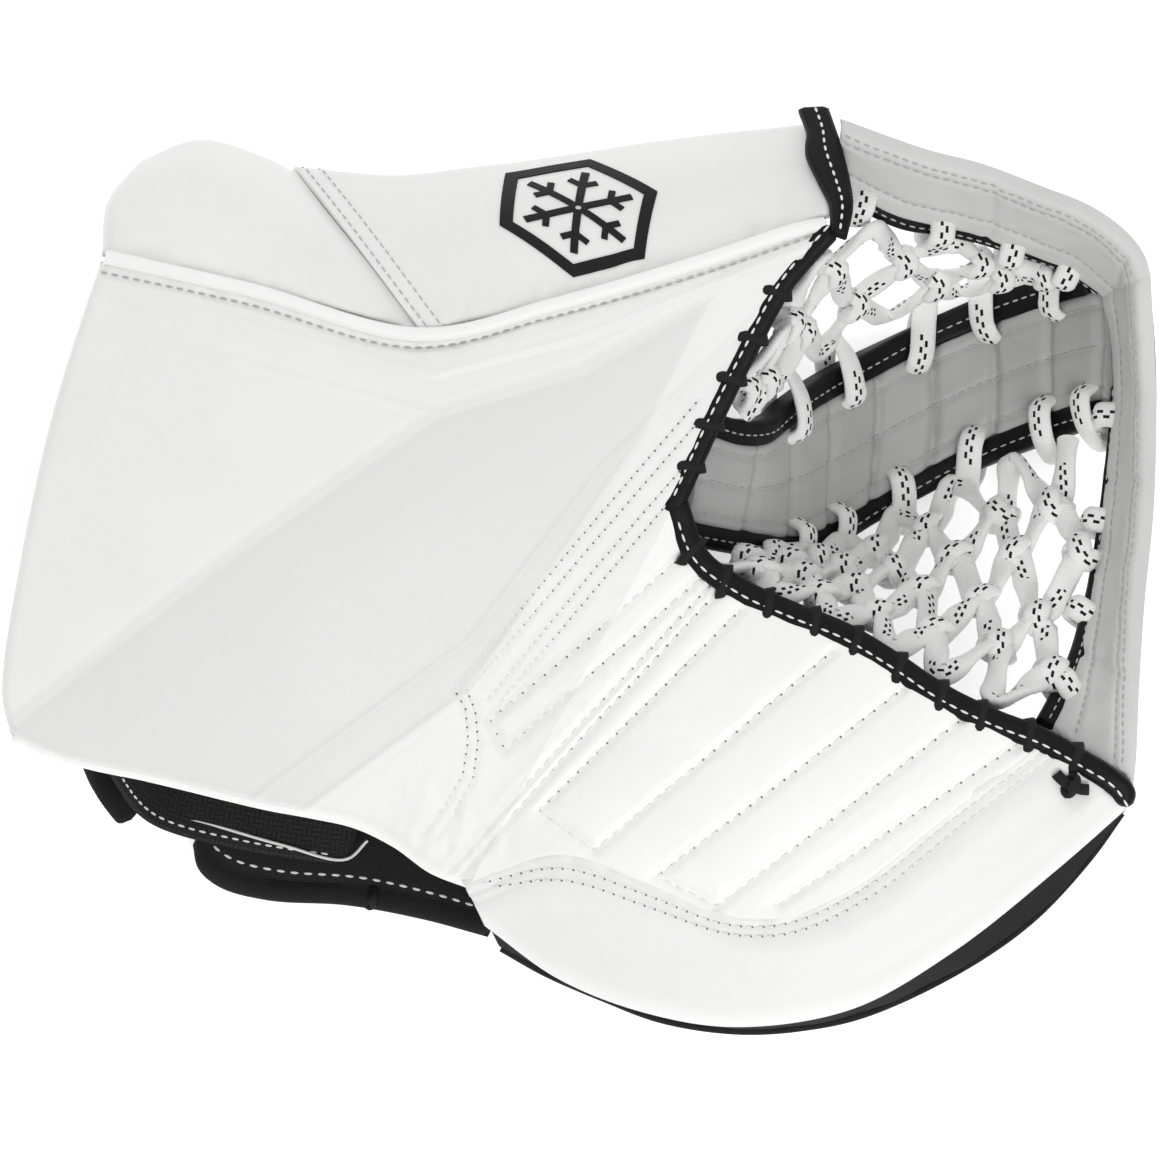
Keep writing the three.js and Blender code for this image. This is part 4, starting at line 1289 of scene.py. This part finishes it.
BACK_SEAM, RIM_HEM = lifted(BACK_OUTLINE, (0, 2.4, 6.2)), lifted(OUTLINE, (0, 2.4, -17.6))
gusset = between(line(*BACK_SEAM), line(*RIM_HEM))
side = pad("finger_gusset", gusset, 1.6, lambda p, u, v, d: 0.7 * bumpy(p * (1, 1, 0.4), 12, 52),
           roll=(0.6,) * 4, spacing=1.8, stack=facing)
finish(side, "fingers", BLACK_NYLON, "black_nylon", "finger_side_gusset")


def stall(name, body, path, radius, node):
    s, t = np.meshgrid(np.linspace(0, 1, 36), np.linspace(-0.5, 0.5, 19), indexing="ij")
    spine, tangent = path(s), unit(np.gradient(path(s), axis=0))
    across = unit(np.cross(tangent, UP))
    angle = np.pi * t[..., None]
    radial = across * np.sin(angle) - UP * np.cos(angle)
    puffed = radius + 0.7 * np.abs(np.sin(np.pi * s[..., None] * 7))
    inner, outer = spine + radial * radius, spine + radial * (puffed + 1.5)
    uv = np.stack([s * path.length, t * np.pi * radius], -1)
    finish(closed_mesh(name, (outer, inner, uv)), body, BLACK_NYLON, "black_nylon", node)


thumb_path = line((-34, -16, 84), (8, 42, 87), (46, 94, 90))
stall("thumb_sleeve", "cuff_thumb", thumb_path, 15, "thumb_stall")
STALLS = {"index": (128, 84, 90), "middle": (101, 81, 90), "ring": (74, 78, 88), "little": (47, 74, 86)}
for finger, (far, near_z, far_z) in STALLS.items():
    knuckle = BREAK_HEEL + POCKET_WAY * far
    spots = [(knuckle + BREAK_ACROSS * reach)[:2] for reach in (14, 55, 96)]
    path = line(*[(*spot, z) for spot, z in zip(spots, (near_z, (near_z + far_z) / 2, far_z))])
    stall(f"{finger}_sleeve", "fingers", path, 11.5, f"{finger}_finger_stall")

# ---- the back of the hand and its straps ----
# The glove rests on a black nylon cushion behind the hand. Two webbing straps hold the hand: one comes
# round from the cuff's corner, one from behind the fingers, and each ends in a flap of hook tape.
CUSHION_HEEL, CUSHION_CORNER = (-35, -138.5, 11.5), (-146, -104, 10)
backhand = surface(
    line(
        CUSHION_CORNER, (-144, -113, 9.5), (-136, -120, 9), (-118, -125, 7.5), (-88, -127, 6.5),
        (-60, -132, 8.5), CUSHION_HEEL,
    ),
    line((-96, 0, 11.5), (-40, -4, 8.5), (10, -36, 17.5)),
    line(CUSHION_CORNER, (-122, -50, 7.5), (-96, 0, 11.5)),
    line(CUSHION_HEEL, (-8, -86, 13.5), (10, -36, 17.5)),
    crown=-4.4,
)


def cushion_face(p, u, v, distances):
    edge = np.min(distances, axis=0)
    return 1.6 * np.sin(np.pi * u) * np.sin(np.pi * v) - 1.6 * bell(edge - 9, 1.8) + 0.6 * bumpy(p, 16, 61)


CUSHION_RISE = 9.3


def cushion_back(p, u, v, distances):
    """The cushion's back, pressed flat where the glove rests on it."""
    return np.minimum(0, p[..., 2] + CUSHION_RISE - 12.6)


cushion = pad("backhand_cushion", backhand, 12.5, cushion_face, roll=(4,) * 4, spacing=1.8,
              raised=CUSHION_RISE, behind=cushion_back)
finish(cushion, "cuff_thumb", BLACK_NYLON, "black_nylon", "backhand_pad_cover", "backhand_pad_foam", fill=0.8)
u_arc = np.linspace(0.02, 0.98, 90)
arc = dropped(backhand(u_arc, 0.09) + UP * 9, UP, [skin_of(cushion)], 0.15)
sew("backhand_stitches", [arc], "cuff_thumb", 5, 3.2, 1.1, WHITE_THREAD, "black_nylon")


END_ROUND = 9  # how far from its end a strap begins to round off


def strap(name, body, path, wide, thick, face_start, face_end, node, paint):
    """Webbing along a path. Its upper side faces one way at its start and another at its end."""
    steps = max(24, round(path.length / 2.2))
    s, t = np.meshgrid(np.linspace(0, 1, steps), np.linspace(-0.5, 0.5, 17), indexing="ij")
    tangent = unit(np.gradient(path(s), axis=0))
    ways = (1 - s[..., None]) * np.array(face_start, float) + s[..., None] * np.array(face_end, float)
    across = unit(np.cross(ways, tangent))
    normal = np.cross(tangent, across)
    full = np.sqrt(1 - np.clip(1 - (1 - s) * path.length / END_ROUND, 0, 0.97) ** 2)
    middle = path(s) + across * (t * full * wide)[..., None]
    rounded = np.clip((np.abs(t) - 0.44) / 0.06, 0, 1) ** 2
    ends = np.clip((np.abs(s - 0.5) - 0.5 + 1.5 / path.length) / (1.5 / path.length), 0, 1) ** 2
    drop = np.maximum(rounded, ends)[..., None] * thick * 0.42
    uv = np.stack([s * path.length, t * wide], -1)
    piece = closed_mesh(name, (middle + normal * (thick - drop), middle + normal * drop, uv))
    finish(piece, body, paint, "webbing", node)
    share = s[:, 0]
    keep = (share > 0.03) & (share * path.length < path.length - END_ROUND)
    faces = path(share), across[:, 0], normal[:, 0] * (thick + 0.1)
    rows = [(faces[0] + faces[1] * side * wide + faces[2])[keep] for side in (-0.37, 0.37)]
    sew(f"{name}_stitches", rows, body, 4.2, 2.8, 0.9, WHITE_THREAD, "webbing")


WEBBING = weave("strap_webbing", 0.004, 0.03, 0.0017, 0.8, 0.0003)
HOOK_TAPE = weave("hook_tape", 0.003, 0.02, 0.0009, 0.95, 0.0004)
wrist_path = line((-176, -56, 78), (-171, -68, 54), (-157, -84, 30), (-124, -93, 21), (-84, -99, 18))
strap("wrist_webbing", "cuff_thumb", wrist_path, 26, 2.5, (1, 0.2, 0.3), (0, 0, 1), "wrist_strap", WEBBING)
wrist_flap = line((-182.5, -60, 76), (-177, -72, 52), (-164, -90, 24))
strap("wrist_tape", "wrist_flap", wrist_flap, 22, 2.5, (-1, -0.4, -0.3), (-0.5, 0, -1),
      "wrist_strap_flap", HOOK_TAPE)
hand_flap = line((10, -84, 31), (7, -86, 17), (-5, -88, 6.6), (-18, -90, 3.9), (-28, -91, 3))
strap("backhand_tape", "backhand_flap", hand_flap, 30, 2.5, (1, 0, 0), (0, 0, -1),
      "backhand_strap_flap", HOOK_TAPE)

# A pale cord edges the wrist's webbing, and a short black lace is knotted through the cushion's corner.
edge_path = line((-158, -91, 32), (-138, -96, 26.5), (-112, -103.5, 24), (-88, -109, 22), (-80, -102, 22))
edge_cord = along("wrist_strap_edge", [edge_path(np.linspace(0, 1, 50))], SWEEP, wide=1.1 * MM,
                  thick=1.1 * MM, sides=8, paint=WHITE_THREAD)
finish(edge_cord, "cuff_thumb", None, "webbing")
tie = along("cushion_tie", knotted(np.array((-79, -124, 14)), unit(np.array((1, -0.2, 0)))), SWEEP,
            wide=4 * MM, thick=3 * MM, sides=10, paint=BLACK_LACE)
finish(tie, "cuff_thumb", None, "black_lace")
